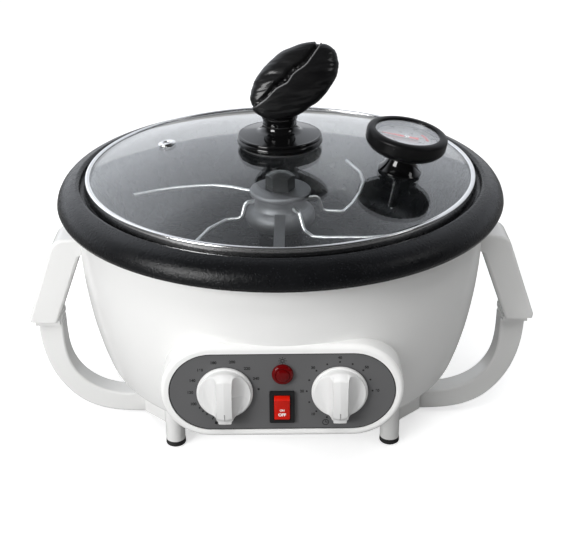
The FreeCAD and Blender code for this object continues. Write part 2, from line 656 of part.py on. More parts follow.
def lamp_lens():
    """Faceted lens: a flange on the panel, a stepped dome and a stem through the wall."""
    lens = turned((0, -6.0), (4.6, -6.0), (4.6, 0), (6.5, 0), (6.5, 1.6), (5.6, 2.4), (5.2, 3.4),
                  *crown(5.2, 3.4, 1.3))
    return on_panel(lens, LAMP_AT)


def lamp_body():
    """Neon holder behind the lens, with two spade terminals."""
    body = tube(5.2, 4.65, -7.5, -PANEL_T).fuse(rod(5.2, -24.0, -7.5))
    body = body.fuse([block(-3.2, -2.4, -1.5, 1.5, -31, -23.5), block(2.4, 3.2, -1.5, 1.5, -31, -23.5)])
    collar = tube(7.0, 5.2, -7.4, -PANEL_T - BOSS_WALL)
    return on_panel(body.fuse(collar).removeSplitter(), LAMP_AT)


def switch_body():
    """Snap-in switch case: bezel, square body, round well for the rocker and three spade terminals."""
    bezel = round_edges(block(-7.5, 7.5, -10.5, 10.5, 0, 1.8), 1.0, lambda e: e.BoundBox.ZLength > 1.7)
    case = block(-6.6, 6.6, -9.6, 9.6, -18.0, 0.5)
    well = Part.makeCylinder(ROCKER_R + 0.3, ROCKER_W + 0.6, V(-ROCKER_W / 2 - 0.3, 0, 0), V(1, 0, 0))
    mouth = block(-ROCKER_W / 2 - 0.3, ROCKER_W / 2 + 0.3, -ROCKER_R - 0.3, ROCKER_R + 0.3, 0, 3)
    body = bezel.fuse(case).cut(well.fuse(mouth))
    body = body.cut(Part.makeCylinder(1.05, ROCKER_W + 2.4, V(-ROCKER_W / 2 - 1.2, 0, 0), V(1, 0, 0)))
    tabs = [block(-2.4, 2.4, y - 0.4, y + 0.4, -26.0, -17.5) for y in (-6.5, 0, 6.5)]
    return on_panel(body.fuse(tabs).removeSplitter(), SWITCH_AT)


def power_rocker():
    """Two-faced rocker on round pins; at rest its lower face is pressed in."""
    half = ROCKER_W / 2
    lean = math.tan(math.radians(ROCKER_TRAVEL / 2))
    dip = 2.2
    slope = 1 + lean ** 2
    reach = (math.sqrt((dip * lean) ** 2 + slope * (ROCKER_R ** 2 - dip ** 2)) - dip * lean) / slope
    rim = dip + reach * lean
    belly = Part.Arc(V(-half, reach, rim), V(-half, 0, -ROCKER_R), V(-half, -reach, rim)).toShape()
    faces = Part.makePolygon([V(-half, -reach, rim), V(-half, 0, dip), V(-half, reach, rim)]).Edges
    rocker = Part.Face(Part.Wire([belly] + faces)).extrude(V(ROCKER_W, 0, 0))
    for side in (-1, 1):
        rocker = rocker.fuse(Part.makeCylinder(1.0, 1.5, V(side * (half - 0.5), 0, 0), V(side, 0, 0)))
    rocker.rotate(V(0, 0, 0), V(1, 0, 0), ROCKER_TRAVEL / 2)
    return on_panel(rocker, SWITCH_AT)


def control_body(name, width, height, depth):
    """Thermostat or timer case behind the boss wall, with its collar and spindle bearing."""
    back = -PANEL_T - BOSS_WALL
    case = round_edges(block(-width / 2, width / 2, -height / 2, height / 2, back - depth, back), 1.5,
                       lambda e: e.BoundBox.ZLength > 5)
    collar = rod(4.4, back - 1, -0.3)
    bore = rod(SPINDLE_R + RUNNING, back - depth + 4, 1)
    tabs = [block(x - 3, x + 3, -0.4, 0.4, back - depth - 7, back - depth + 1) for x in (-8, 8)]
    body = case.fuse([collar] + tabs).cut(bore)
    return on_panel(body.removeSplitter(), KNOB_AT[name])


def spindle(name, depth):
    """Spindle with a flat at its outer end, from inside its case to inside its knob."""
    back = -PANEL_T - BOSS_WALL - depth + 4.5
    shaft = rod(SPINDLE_R, back, 10.0).cut(block(1.6, 5, -5, 5, 2.5, 12))
    return on_panel(shaft, KNOB_AT[name])


def control_knob(name):
    """Knob with a thin skirt ring, a scooped body and a grip bar that runs out into a pointer tab."""
    ring = turned((0, 0.5), (KNOB_R, 0.5), (KNOB_R, 1.6), ((KNOB_R - 0.4, 2.3), (KNOB_R - 1.2, 2.5)),
                  (0, 2.5))
    shoulder = KNOB_BODY_R - 4
    drum = turned((0, 2.0), (KNOB_BODY_R, 2.0), (KNOB_BODY_R - 0.5, KNOB_TOP - 4.2),
                  ((KNOB_BODY_R - 1.6, KNOB_TOP - 2.0), (shoulder, KNOB_TOP - 1.0)),
                  *crown(shoulder, KNOB_TOP - 1.0, 1.0))
    for side in (-1, 1):
        at = V(side * (KNOB_BAR / 2 + 11.2), -30, KNOB_TOP + 3.6)
        drum = drum.cut(Part.makeCylinder(12.0, 60, at, V(0, 1, 0)))
    half = KNOB_TAB / 2
    tab = [V(-half - 3.4, -12, 0), V(-half - 1.4, -15.0, 0), V(-half, -KNOB_TIP, 0), V(half, -KNOB_TIP, 0),
           V(half + 1.4, -15.0, 0), V(half + 3.4, -12, 0), V(-half - 3.4, -12, 0)]
    tab = Part.Face(Part.makePolygon(tab)).extrude(V(0, 0, KNOB_TOP - 3.9))
    tab.translate(V(0, 0, 1.2))
    knob = ring.fuse([drum, tab]).removeSplitter()
    groove = block(-0.4, 0.4, -13.6, -8.8, KNOB_TOP - 1.8, KNOB_TOP + 2)
    bore = rod(SPINDLE_R, 0, 10.2).cut(block(1.6, 5, -5, 5, 2.5, 12))
    return on_panel(knob.cut(groove).cut(bore), KNOB_AT[name])


# ---------------------------------------------------------------- cord entry

def cord_gland():
    """Gland for the mains lead: flange outside, barrel through the wall, nut inside."""
    gland = turned((3.7, -12), (7.9, -12), (7.9, -3), (11.0, -3), (11.0, 3.2), (8.6, 4.2), (6.0, 14),
                   (3.7, 14))
    nut = tube(11.5, 7.8, -11.0, -4.2)
    gland = gland.fuse(nut).removeSplitter()
    gland.rotate(V(0, 0, 0), V(1, 0, 0), -90)
    gland.translate(V(0, bowl_radius(GLAND_Z) + 0.4, GLAND_Z))
    wall = bowl(0.0, CASING_TOP).cut(bowl(CASING_WALL, CASING_TOP + 1)).cut(gland_hole())
    return gland.cut(wall)


def terminal_block():
    """Screw terminal strip on the casing's floor, near the gland."""
    low = TRAY_TOP + CASING_WALL
    strip = block(-20, 20, 64, 78, low, low + 5)
    for x in (-15, -5, 5, 15):
        strip = strip.fuse(block(x - 4, x + 4, 66, 76, low + 5, low + 14))
    for x in (-15, -5, 5, 15):
        strip = strip.cut(rod(2.4, low + 9, low + 20, x, 71))
    return strip.removeSplitter()


# ---------------------------------------------------------------- stirrer

def drive_shaft():
    low = GEARBOX_Z + 6.6
    return turned((0, low), (SHAFT_R, low), (SHAFT_R, SHAFT_TOP - 0.6), (SHAFT_R - 0.6, SHAFT_TOP),
                  (0, SHAFT_TOP))


# Corners of each wire arm: x, y and the height above the hub's bottom.
ARM_POINTS = {
    "upper_sweep_arm": [(-10, 6, 20.1), (-34, 19.5, 20.1), (-46, 22.4, 20.1), (-58, 21.6, 20.1),
                        (-73, 18.4, 20.1), (-84, 14.4, 20.1), (-101, 6.0, 20.1)],
    "left_sweep_arm": [(-8, 4, 17), (-24, -1, 17), (-28, -4.5, 8.5), (-37, -7, 7.5), (-48, -22, 7.5),
                       (-56, -44, 7.5), (-60, -66, 7.5)],
    "front_sweep_arm": [(5, -8, 17.5), (12.5, -21.5, 17.5), (16.0, -27.0, 9), (21, -33, 7.5),
                        (31, -35.5, 7.5), (57, -36, 7.5), (74, -34, 7.5), (92, -30, 7.5)],
    "rear_sweep_arm": [(8, 2, 18), (26, 6, 18), (30, 7.6, 9), (43, 7, 7.5), (50, 20, 8),
                       (57, 37, 8.5), (61, 56, 9.1), (60, 73, 9.7), (51, 94, 11.5)],
}


def sweep_arm(name):
    return bent_rod([V(x, y, HUB_BOTTOM + z) for x, y, z in ARM_POINTS[name]], WIRE_R, 7.0)


def flat_scraper_arm():
    """Flat bar that reaches towards the pan's wall, with a rounded outer end."""
    bar = stadium(86.0, 7.0, HUB_BOTTOM + 13.9, HUB_BOTTOM + 15.4)
    bar.translate(V(50.0, 0, 0))
    bar.rotate(V(0, 0, 0), UP, -91.0)
    return bar


def stirrer_hub():
    """Spun hub: a neck under the cap and a rounded skirt, drilled for the arms."""
    low = HUB_BOTTOM
    hub = turned((SHAFT_R, low), (18.4, low), ((22.6, low + 2.9), (24.0, low + 7.0)),
                 ((22.8, low + 11.3), (19.2, low + 14.5)), ((17.9, low + 16.7), (17.4, low + 19.5)),
                 (17.4, HUB_TOP), (SHAFT_R, HUB_TOP))
    for name in ARM_POINTS:
        hub = hub.cut(sweep_arm(name))
    return hub.cut(flat_scraper_arm())


def stirrer_cap():
    low = HUB_TOP
    return turned((SHAFT_R, low), (19.8, low), ((20.7, low + 0.5), (21.0, low + 1.7)),
                  ((20.6, low + 3.2), (19.4, CAP_TOP)), (SHAFT_R, CAP_TOP))


def stirrer_nut():
    """Hexagonal hand nut with a low crown."""
    nut = hexagon(17.4, CAP_TOP, CAP_TOP + 12.0)
    round_top = turned((0, CAP_TOP), (10.4, CAP_TOP), (10.4, CAP_TOP + 8.6), *crown(10.4, CAP_TOP + 8.6, 3.2))
    return nut.common(round_top).cut(rod(SHAFT_R, CAP_TOP - 1, SHAFT_TOP))


# ---------------------------------------------------------------- lid

GAUGE_FRAME = dome_frame(GAUGE_XY)
VENT_FRAME = dome_frame(VENT_XY)


def glass_profile(edge_r):
    """Half section of the glass: two arcs about the sphere's centre, and a plain rim."""
    outer = DOME_SPHERE_R
    inner = DOME_SPHERE_R - GLASS_T
    edges = [
        Part.Arc(V(0, 0, SPHERE_Z + outer), at_angle(outer, edge_r / 2), at_angle(outer, edge_r)).toShape(),
        Part.LineSegment(at_angle(outer, edge_r), at_angle(inner, edge_r)).toShape(),
        Part.Arc(at_angle(inner, edge_r), at_angle(inner, edge_r / 2), V(0, 0, SPHERE_Z + inner)).toShape(),
        Part.LineSegment(V(0, 0, SPHERE_Z + inner), V(0, 0, SPHERE_Z + outer)).toShape()]
    return Part.Face(Part.Wire(edges))


def at_angle(radius, r):
    return V(r, 0, SPHERE_Z + math.sqrt(radius ** 2 - r ** 2))


def lid_glass():
    """Toughened dome with holes for the knob's screw, the thermometer and the steam vent."""
    glass = glass_profile(131.2).revolve(V(0, 0, 0), UP, 360)
    glass = glass.cut(rod(3.2, DOME_TOP - 10, DOME_TOP + 5))
    glass = glass.cut(placed(rod(3.2, -10, 5), GAUGE_FRAME))
    return glass.cut(placed(rod(3.5, -10, 5), VENT_FRAME))


def lid_ring():
    """Rolled steel rim round the glass."""
    low = LEDGE_Z + 0.1
    ring = turned((126.8, low), (131.4, low), ((131.9, low + 0.2), (LID_RING_R, low + 0.9)),
                  (LID_RING_R, low + 5.7), ((131.7, low + 6.8), (130.6, low + 7.4)), (128.2, low + 8.0),
                  (127.8, low + 7.6), (127.8, low + 4.7), (126.8, low + 3.7))
    return ring.cut(glass_profile(131.2).revolve(V(0, 0, 0), UP, 360))


def knob_gasket():
    lower = dome_top_at(26.0)
    pad = turned((3.2, lower), (26.0, lower), (26.0, KNOB_SEAT), (3.2, KNOB_SEAT))
    return pad.cut(glass_profile(131.2).revolve(V(0, 0, 0), UP, 360))


def dome_top_at(r):
    return SPHERE_Z + math.sqrt(DOME_SPHERE_R ** 2 - r ** 2)


def knob_base():
    """Round foot with a raised edge line and a waisted neck that carries the bean."""
    low = KNOB_SEAT
    return turned((2.6, low), (26.4, low), ((28.2, low + 0.9), (28.75, low + 3.3)), (28.75, low + 4.3),
                  (28.2, low + 4.7), ((28.0, low + 5.7), (26.6, low + 6.3)), (16.5, low + 8.3),
                  ((12.6, low + 10.3), (NECK_R, low + 14.7)), (NECK_R, NECK_TOP), (2.6, NECK_TOP))


def bean_frame():
    """Frame of the bean: x along it, y across it, z out of the creased face."""
    up = math.radians(BEAN_FACE_UP)
    face = V(0, -math.cos(up), math.sin(up))
    across = V(0, math.sin(up), math.cos(up))
    tilt = math.radians(BEAN_TILT)
    along = V(1, 0, 0) * math.cos(tilt) + across * math.sin(tilt)
    return FreeCAD.Placement(BEAN_CENTRE, FreeCAD.Rotation(along, face.cross(along), face, "XZY"))


def half_ellipsoid(long, wide, deep, front):
    """Half of an ellipsoid on the plane z = 0, in front of it or behind it."""
    ball = Part.makeSphere(1.0)
    half = ball.common(block(-2, 2, -2, 2, 0, 2) if front else block(-2, 2, -2, 2, -2, 0))
    matrix = FreeCAD.Matrix()
    matrix.scale(long, wide, deep)
    return half.transformGeometry(matrix)


def bean_body(inset):
    """Bean as two half ellipsoids on one rim: a full back and a flatter creased face."""
    back = half_ellipsoid(BEAN_LONG - inset, BEAN_WIDE - inset, BEAN_BACK - inset, False)
    front = half_ellipsoid(BEAN_LONG - inset, BEAN_WIDE - inset, BEAN_FRONT - inset, True)
    return back.fuse(front)


def crease_cutter():
    """S-shaped slot along the bean's face, of even depth and running out over both ends."""
    half = 1.1
    left = [V(-40, -4.5, 0), V(-22, -3.2, 0), V(-8, 0.6, 0), V(8, -0.4, 0), V(22, 3.4, 0), V(40, 4.0, 0)]
    curve = Part.BSplineCurve()
    curve.interpolate(left)
    upper = curve.toShape()
    lower = upper.copy()
    upper.translate(V(0, half, 0))
    lower.translate(V(0, -half, 0))
    ends = [Part.LineSegment(left[i] + V(0, half, 0), left[i] - V(0, half, 0)).toShape() for i in (0, -1)]
    wire = Part.Wire(Part.__sortEdges__([upper, lower] + ends))
    return Part.Face(wire).extrude(V(0, 0, 30)).cut(bean_body(4.0))


def bean_knob():
    """Bean-shaped grip with its crease, seated on the neck."""
    bean = placed(bean_body(0.0).cut(crease_cutter()), bean_frame())
    neck = rod(NECK_R + SLIP, KNOB_SEAT, NECK_TOP)
    collar = turned((0, NECK_TOP - 9), (11.5, NECK_TOP - 9), ((12.0, NECK_TOP - 5.5), (13.8, NECK_TOP - 2.5)),
                    (13.8, NECK_TOP + 2), (0, NECK_TOP + 2))
    return bean.fuse(collar).cut(neck).removeSplitter()


def knob_screw():
    """Screw from under the glass up into the knob's neck, with a wide flange head."""
    head_top = DOME_TOP - GLASS_T
    return turned((0, head_top - 3.4), (4.5, head_top - 3.4), (4.5, head_top - 1.4), (7.5, head_top - 1.4),
                  (7.5, head_top - 0.08), (2.5, head_top - 0.08), (2.5, NECK_TOP - 5), (0, NECK_TOP - 5))


def steam_vent():
    """Steel eyelet: a rolled flange above the glass, a barrel through it and a lower flange."""
    eyelet = turned((2.4, -5.4), (5.4, -5.4), (5.4, -4.1), (3.4, -4.1), (3.4, 0.05), (6.2, 0.05), (6.2, 0.5),
                    ((5.6, 1.3), (4.4, 1.5)), (2.9, 1.4), (2.4, 0.8))
    return placed(eyelet, VENT_FRAME)


# ---------------------------------------------------------------- thermometer, in its own frame


def thermometer_foot():
    foot = turned((PROBE_R + SLIP, 0.2), (13.4, 0.2), ((14.0, 0.6), (14.0, 1.4)), ((10.6, 5.6), (8.8, 10.0)),
                  (8.6, CASE_LOW), (PROBE_R + SLIP, CASE_LOW))
    return placed(foot, GAUGE_FRAME)


def thermometer_case():
    case = turned((PROBE_R + SLIP, CASE_LOW), (11.5, CASE_LOW), ((21.6, 17.2), (25.6, 22.0)), (25.6, 25.8),
                  ((25.0, 27.4), (23.6, 28.2)), (21.4, 28.2), (20.7, 27.4), (20.7, 27.2), (22.5, 27.2),
                  (22.5, DIAL_H), (20.0, DIAL_H), (20.0, 19.0), (PROBE_R + SLIP, 19.0))
    return placed(case, GAUGE_FRAME)


def thermometer_band():
    """Polished spacer ring that holds the lens above the dial; its slanting face shows inside the rim."""
    low = DIAL_H + 0.65
    band = turned((19.6, low), (22.3, low), (22.3, LENS_LOW - 0.05), (20.9, LENS_LOW - 0.05))
    return placed(band, GAUGE_FRAME)


def thermometer_dial():
    return placed(tube(22.3, 0.95, DIAL_H, DIAL_H + 0.6), GAUGE_FRAME)


def thermometer_lens():
    return placed(rod(22.3, LENS_LOW, LENS_LOW + 1.4), GAUGE_FRAME)


def thermometer_probe():
    """Stem with its collar in the case, the sensing tip under the lid and a bore for the pointer's axle."""
    probe = turned((0, PROBE_END), (PROBE_R - 0.8, PROBE_END), (PROBE_R, PROBE_END + 1.4), (PROBE_R, 19.0),
                   (5.5, 19.0), (5.5, 20.4), (0.86, 20.4), (0.86, 14.0), (0, 14.0))
    return placed(probe, GAUGE_FRAME)


def thermometer_nut():
    return placed(hexagon(10.0, -7.6, -4.15).cut(rod(PROBE_R, -10, 0)), GAUGE_FRAME)


def thermometer_pointer():
    """Tapered hand with a counter-tail, a round boss and its axle."""
    hand = Part.Face(Part.makePolygon([V(16.2, -0.25, 0), V(16.2, 0.25, 0), V(0, 1.3, 0), V(-7.6, 1.5, 0),
                                       V(-7.6, -1.5, 0), V(0, -1.3, 0), V(16.2, -0.25, 0)]))
    hand = hand.extrude(V(0, 0, 0.6))
    hand.translate(V(0, 0, 22.7))
    boss = rod(1.9, 22.4, 24.2)
    pointer = hand.fuse([boss, rod(0.8, 14.4, 22.8)]).removeSplitter()
    pointer.rotate(V(0, 0, 0), UP, GAUGE_REST)
    return placed(pointer, GAUGE_FRAME)


# ---------------------------------------------------------------- write every piece

def main():
    os.makedirs("parts", exist_ok=True)
    pieces = {
        "outer_casing": outer_casing(),
        "base_frame": base_frame(),
        "rubber_feet": rubber_feet(),
        "left_handle_grip": handle_grip(-1),
        "right_handle_grip": handle_grip(1),
        "grip_screws": grip_screws(),
        "base_screws": base_screws(),
        "roasting_pan": roasting_pan(),
        "rim_gasket": rim_gasket(),
        "pan_screws": pan_screws(),
        "pan_standoffs": pan_standoffs(),
        "heating_element": heating_element(),
        "element_clips": element_clips(),
        "heat_shield": heat_shield(),
        "motor_bracket": motor_bracket(),
        "gear_motor": gear_motor(),
        "gearbox": gearbox(),
        "motor_screws": motor_screws(),
        "shaft_bush": shaft_bush(),
        "shaft_seal": shaft_seal(),
        "thermal_fuse": thermal_fuse(),
        "thermostat_bulb": thermostat_bulb(),
        "control_panel": control_panel(),
        "lamp_lens": lamp_lens(),
        "lamp_body": lamp_body(),
        "switch_body": switch_body(),
        "thermostat_body": control_body("temperature", 30.0, 26.0, 18.0),
        "timer_body": control_body("timer", 36.0, 36.0, 22.0),
        "cord_gland": cord_gland(),
        "terminal_block": terminal_block(),
        "drive_shaft": drive_shaft(),
        "stirrer_hub": stirrer_hub(),
        "stirrer_cap": stirrer_cap(),
        "stirrer_nut": stirrer_nut(),
        "flat_scraper_arm": flat_scraper_arm(),
        "lid_glass": lid_glass(),
        "lid_ring": lid_ring(),
        "knob_gasket": knob_gasket(),
        "knob_base": knob_base(),
        "bean_knob": bean_knob(),
        "knob_screw": knob_screw(),
        "steam_vent": steam_vent(),
        "thermometer_foot": thermometer_foot(),
        "thermometer_case": thermometer_case(),
        "thermometer_band": thermometer_band(),
        "thermometer_dial": thermometer_dial(),
        "thermometer_lens": thermometer_lens(),
        "thermometer_probe": thermometer_probe(),
        "thermometer_nut": thermometer_nut(),
        "thermometer_pointer": thermometer_pointer(),
        "temperature_knob": control_knob("temperature"),
        "temperature_spindle": spindle("temperature", 18.0),
        "timer_knob": control_knob("timer"),
        "timer_spindle": spindle("timer", 22.0),
        "power_rocker": power_rocker(),
    }
    for name in ARM_POINTS:
        pieces[name] = sweep_arm(name)
    for name, shape in pieces.items():
        solids = len(shape.Solids)
        state = "valid" if shape.isValid() else "INVALID"
        print(name, shape.ShapeType, solids, state, round(shape.Volume, 1))
        save(name, shape)


main()
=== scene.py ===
"""Looks of a home coffee roaster: finishes, turned and swept pieces, printed scales, stage and camera."""

from __future__ import annotations

import json
import logging
import math
from dataclasses import dataclass
from enum import Enum
from typing import ClassVar

import bmesh
import bpy
from mathutils import Matrix, Vector, noise


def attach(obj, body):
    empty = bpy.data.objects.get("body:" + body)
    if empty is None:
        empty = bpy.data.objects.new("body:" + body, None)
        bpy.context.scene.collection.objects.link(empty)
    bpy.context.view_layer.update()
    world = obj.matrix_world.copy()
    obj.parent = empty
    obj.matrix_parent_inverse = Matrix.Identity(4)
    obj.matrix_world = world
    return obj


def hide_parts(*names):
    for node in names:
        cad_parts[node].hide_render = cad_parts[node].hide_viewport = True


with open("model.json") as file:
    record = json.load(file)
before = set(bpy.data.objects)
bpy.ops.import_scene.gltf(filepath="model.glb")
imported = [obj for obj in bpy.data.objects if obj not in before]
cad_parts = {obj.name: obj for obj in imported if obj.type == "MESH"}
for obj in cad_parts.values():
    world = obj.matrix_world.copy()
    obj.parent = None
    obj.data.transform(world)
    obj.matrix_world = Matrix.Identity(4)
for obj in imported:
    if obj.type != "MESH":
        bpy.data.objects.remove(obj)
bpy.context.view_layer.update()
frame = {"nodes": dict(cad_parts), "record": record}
LOG = logging.getLogger("coffee_roaster")

Point = tuple[float, float]
Place = tuple[float, float, float]
Colour = tuple[float, float, float]
Step = Point | tuple[Point, Point]
Line = tuple[Point, ...]
Feeds = dict[str | int, object]
Socket = bpy.types.NodeSocket
Mesh = bpy.types.Mesh
Piece = bpy.types.Object

# Sizes of the roaster are in millimetres and MM turns them into metres; the stage is in metres.
MM = 0.001
TINY = 1e-6
WELD = 1e-7
# Grain per metre of metals that are brushed in no direction.
EVEN = (300.0, 300.0, 300.0)
FINE = (500.0, 500.0, 500.0)
# A print's height over its ground, its thickness, and the share of its size by which type is fattened.
PRINT_LIFT = 0.02
PRINT_THICK = 0.05
BOLD = 0.042


# ---------------------------------------------------------------- frames of the object


def shift(x: float, y: float, z: float = 0.0) -> Matrix:
    """Move by millimetres."""
    return Matrix.Translation(Vector((x, y, z)) * MM)


def rotation(degrees: float, axis: str) -> Matrix:
    """Turn about an axis."""
    return Matrix.Rotation(math.radians(degrees), 4, axis)


# Middle of the panel's face and its lean in degrees.
PANEL_AT = shift(0.0, -137.8, 102.9)
PANEL_LEAN = 1.4
# The lid's outer face, and where the thermometer and the steam eyelet stand on it.
DOME_TOP = 209.5
DOME_RADIUS = 488.0
GAUGE_XY = (77.0, -34.0)
VENT_XY = (-78.0, 19.0)
# Middle of the bean, how far its face looks up and how far it is turned in its own plane.
BEAN_AT = shift(10.0, -1.0, 253.3)
BEAN_UP = math.radians(24.0)
BEAN_TILT = math.radians(37.0)


def panel_frame(x: float = 0.0, y: float = 0.0, z: float = 0.0) -> Matrix:
    """Frame of the control panel, shifted in it: x to the right, y up its face, z out of it."""
    return PANEL_AT @ rotation(90.0 - PANEL_LEAN, "X") @ shift(x, y, z)


def dome_frame(x: float, y: float) -> Matrix:
    """Frame on the lid's outer face, with z along its normal and y towards the back.

    Args:
        x: Place on the lid seen from above, in millimetres to the right.
        y: The same towards the back.

    Returns:
        Matrix from the local frame to the roaster's frame.
    """
    height = math.sqrt(DOME_RADIUS**2 - x**2 - y**2)
    normal = Vector((x, y, height)).normalized()
    side = Vector((0, 1, 0)).cross(normal).normalized()
    turn = Matrix((side, normal.cross(side), normal)).transposed().to_4x4()
    return shift(x, y, DOME_TOP - DOME_RADIUS + height) @ turn


def bean_frame() -> Matrix:
    """Frame of the bean knob: x along the bean, y across it, z out of its creased face.

    Returns:
        Matrix from the local frame to the roaster's frame.
    """
    face = Vector((0, -math.cos(BEAN_UP), math.sin(BEAN_UP)))
    across = Vector((0, math.sin(BEAN_UP), math.cos(BEAN_UP)))
    along = Vector((1, 0, 0)) * math.cos(BEAN_TILT) + across * math.sin(BEAN_TILT)
    return BEAN_AT @ Matrix((along, face.cross(along), face)).transposed().to_4x4()


# ---------------------------------------------------------------- node trees


class Nodes:
    """Node tree with short calls that add a node and feed its inputs."""

    PREFIX: ClassVar[str] = "ShaderNode"

    def __init__(self, tree: bpy.types.NodeTree) -> None:
        """Take over a tree and empty it."""
        self.tree = tree
        tree.nodes.clear()

    def feed(self, node: bpy.types.Node, feeds: Feeds) -> None:
        """Link or set inputs of a node.

        Args:
            node: The node.
            feeds: Input name or number to a socket, or to a constant.
        """
        for key, value in feeds.items():
            socket = node.inputs[key]
            if isinstance(value, Socket):
                self.tree.links.new(value, socket)
            else:
                socket.default_value = (*value, 1.0) if socket.type == "RGBA" else value

    def add(self, kind: str, feeds: Feeds | None = None, **settings: object) -> bpy.types.Node:
        """Add a node.

        Args:
            kind: Its type; a short one takes the tree's own prefix.
            feeds: What its inputs are fed with.
            settings: Its properties.

        Returns:
            The node.
        """
        node = self.tree.nodes.new(kind if "Node" in kind else self.PREFIX + kind)
        for key, value in settings.items():
            setattr(node, key, value)
        self.feed(node, feeds or {})
        return node

    def math(self, operation: str, *terms: object) -> Socket:
        """Result of one arithmetic step."""
        return self.add("ShaderNodeMath", dict(enumerate(terms)), operation=operation).outputs[0]

    def spread(self, value: Socket, low: float, high: float, start: float = 0.3, end: float = 0.7,
               course: str = "LINEAR") -> Socket:
        """Map a value from start..end to low..high."""
        feeds = {"Value": value, "From Min": start, "From Max": end, "To Min": low, "To Max": high}
        return self.add("MapRange", feeds, interpolation_type=course).outputs["Result"]

    def blend(self, factor: Socket, first: Socket | Colour, second: Socket | Colour) -> Socket:
        """Mix two colours by a factor."""
        feeds = {"Factor": factor, "A": first, "B": second}
        return self.add("Mix", feeds, data_type="RGBA").outputs["Result"]

    def by_ray(self, ray: str, other: Socket, met: Socket) -> Socket:
        """One shader for rays of a kind, another for the rest."""
        return self.add("MixShader", {0: self.add("LightPath").outputs[ray], 1: other, 2: met}).outputs[0]


class Tree(Nodes):
    """Node tree of one material, with the calls that the finishes share."""

    def __init__(self, name: str) -> None:
        """Start a tree that ends in a Principled shader.

        Args:
            name: Name of the finish.
        """
        self.material = bpy.data.materials.new(name + "_finish")
        self.material.use_nodes = True
        super().__init__(self.material.node_tree)
        self.shader = self.add("BsdfPrincipled")
        self.output = self.add("OutputMaterial", {"Surface": self.shader.outputs[0]})

    def set(self, **values: object) -> None:
        """Feed inputs of the shader; an underscore stands for a space."""
        self.feed(self.shader, {key.replace("_", " "): value for key, value in values.items()})

    def position(self, stretch: Place = (1, 1, 1), uv: bool = False) -> Socket:
        """Object coordinates, or the piece's own map, stretched per axis."""
        source = self.add("TexCoord").outputs["UV" if uv else "Object"]
        return self.add("Mapping", {"Vector": source, "Scale": stretch}).outputs[0]

    def noise(self, vector: Socket, scale: float, detail: float = 3.0, rough: float = 0.55,
              distortion: float = 0.0) -> Socket:
        """Fractal noise at a scale per metre."""
        feeds = {"Vector": vector, "Scale": scale, "Detail": detail, "Roughness": rough}
        return self.add("TexNoise", {**feeds, "Distortion": distortion}).outputs["Fac"]

    def cells(self, vector: Socket, scale: float) -> Socket:
        """Distance field of scattered cells, for flecks."""
        return self.add("TexVoronoi", {"Vector": vector, "Scale": scale}).outputs["Distance"]

    def bump(self, height: Socket, depth: float) -> Socket:
        """Normal of a surface that is raised by a height times a depth in metres."""
        return self.add("Bump", {"Height": height, "Strength": 1.0, "Distance": depth}).outputs[0]


# ---------------------------------------------------------------- finishes


@dataclass(frozen=True)
class Moulded:
    """Injection-moulded plastic: cloudy colour, a fine orange peel and a patchy gloss."""

    name: str
    light: Colour
    dark: Colour
    gloss: Point = (0.22, 0.30)
    coat: float = 0.0
    peel: float = 0.000002
    shine: float = 0.5
    clouds: float = 38.0
    patches: float = 22.0
    dimples: float = 520.0
    coat_gloss: float = 0.08

    def material(self) -> bpy.types.Material:
        """Build the material.

        Returns:
            The material.
        """
        tree = Tree(self.name)
        place = tree.position()
        tree.set(Base_Color=tree.blend(tree.noise(place, self.clouds, 2.0), self.light, self.dark),
                 Roughness=tree.spread(tree.noise(place, self.patches, 1.0), *self.gloss),
                 Normal=tree.bump(tree.noise(place, self.dimples, 2.0), self.peel),
                 Coat_Weight=self.coat, Coat_Roughness=self.coat_gloss, Specular_IOR_Level=self.shine)
        return tree.material


@dataclass(frozen=True)
class Brushed:
    """Metal with fine lines that run round a turned piece or along a wire."""

    name: str
    light: Colour
    dark: Colour
    gloss: Point = (0.16, 0.34)
    lines: Place = (6.0, 900.0, 1.0)
    depth: float = 0.000006
    uv: bool = True
    clouds: float = 60.0
    cloudy: float = 0.5

    def material(self) -> bpy.types.Material:
        """Build the material.

        Returns:
            The material.
        """
        tree = Tree(self.name)
        lines = tree.noise(tree.position(self.lines, uv=self.uv), 1.0, 4.0, 0.7)
        cloud = tree.spread(tree.noise(tree.position(), self.clouds), 0.0, self.cloudy)
        shade = tree.math("MULTIPLY_ADD", lines, 1.0 - self.cloudy, cloud)
        tree.set(Base_Color=tree.blend(shade, self.light, self.dark), Metallic=1.0,
                 Roughness=tree.spread(lines, *self.gloss), Normal=tree.bump(lines, self.depth))
        return tree.material


@dataclass(frozen=True)
class Coated:
    """Sprayed coating or ink on a firm ground: a fine grain with lighter flecks."""

    name: str
    light: Colour
    dark: Colour
    gloss: Point = (0.30, 0.42)
    grain: float = 1700.0
    depth: float = 0.00003
    fleck: float = 0.5
    shine: float = 0.3
    fleck_edge: float = 0.28
    clouds: float = 30.0
    cloudy: float = 0.25
    patches: float = 90.0

    def material(self) -> bpy.types.Material:
        """Build the material.

        Returns:
            The material.
        """
        tree = Tree(self.name)
        place = tree.position()
        flecks = tree.spread(tree.cells(place, self.grain * 0.6), self.fleck, 0.0, 0.0, self.fleck_edge)
        shade = tree.math("MULTIPLY_ADD", tree.noise(place, self.clouds), self.cloudy, flecks)
        tree.set(Base_Color=tree.blend(shade, self.dark, self.light), Specular_IOR_Level=self.shine,
                 Roughness=tree.spread(tree.noise(place, self.patches), *self.gloss),
                 Normal=tree.bump(tree.noise(place, self.grain, 2.0, 0.6), self.depth))
        return tree.material


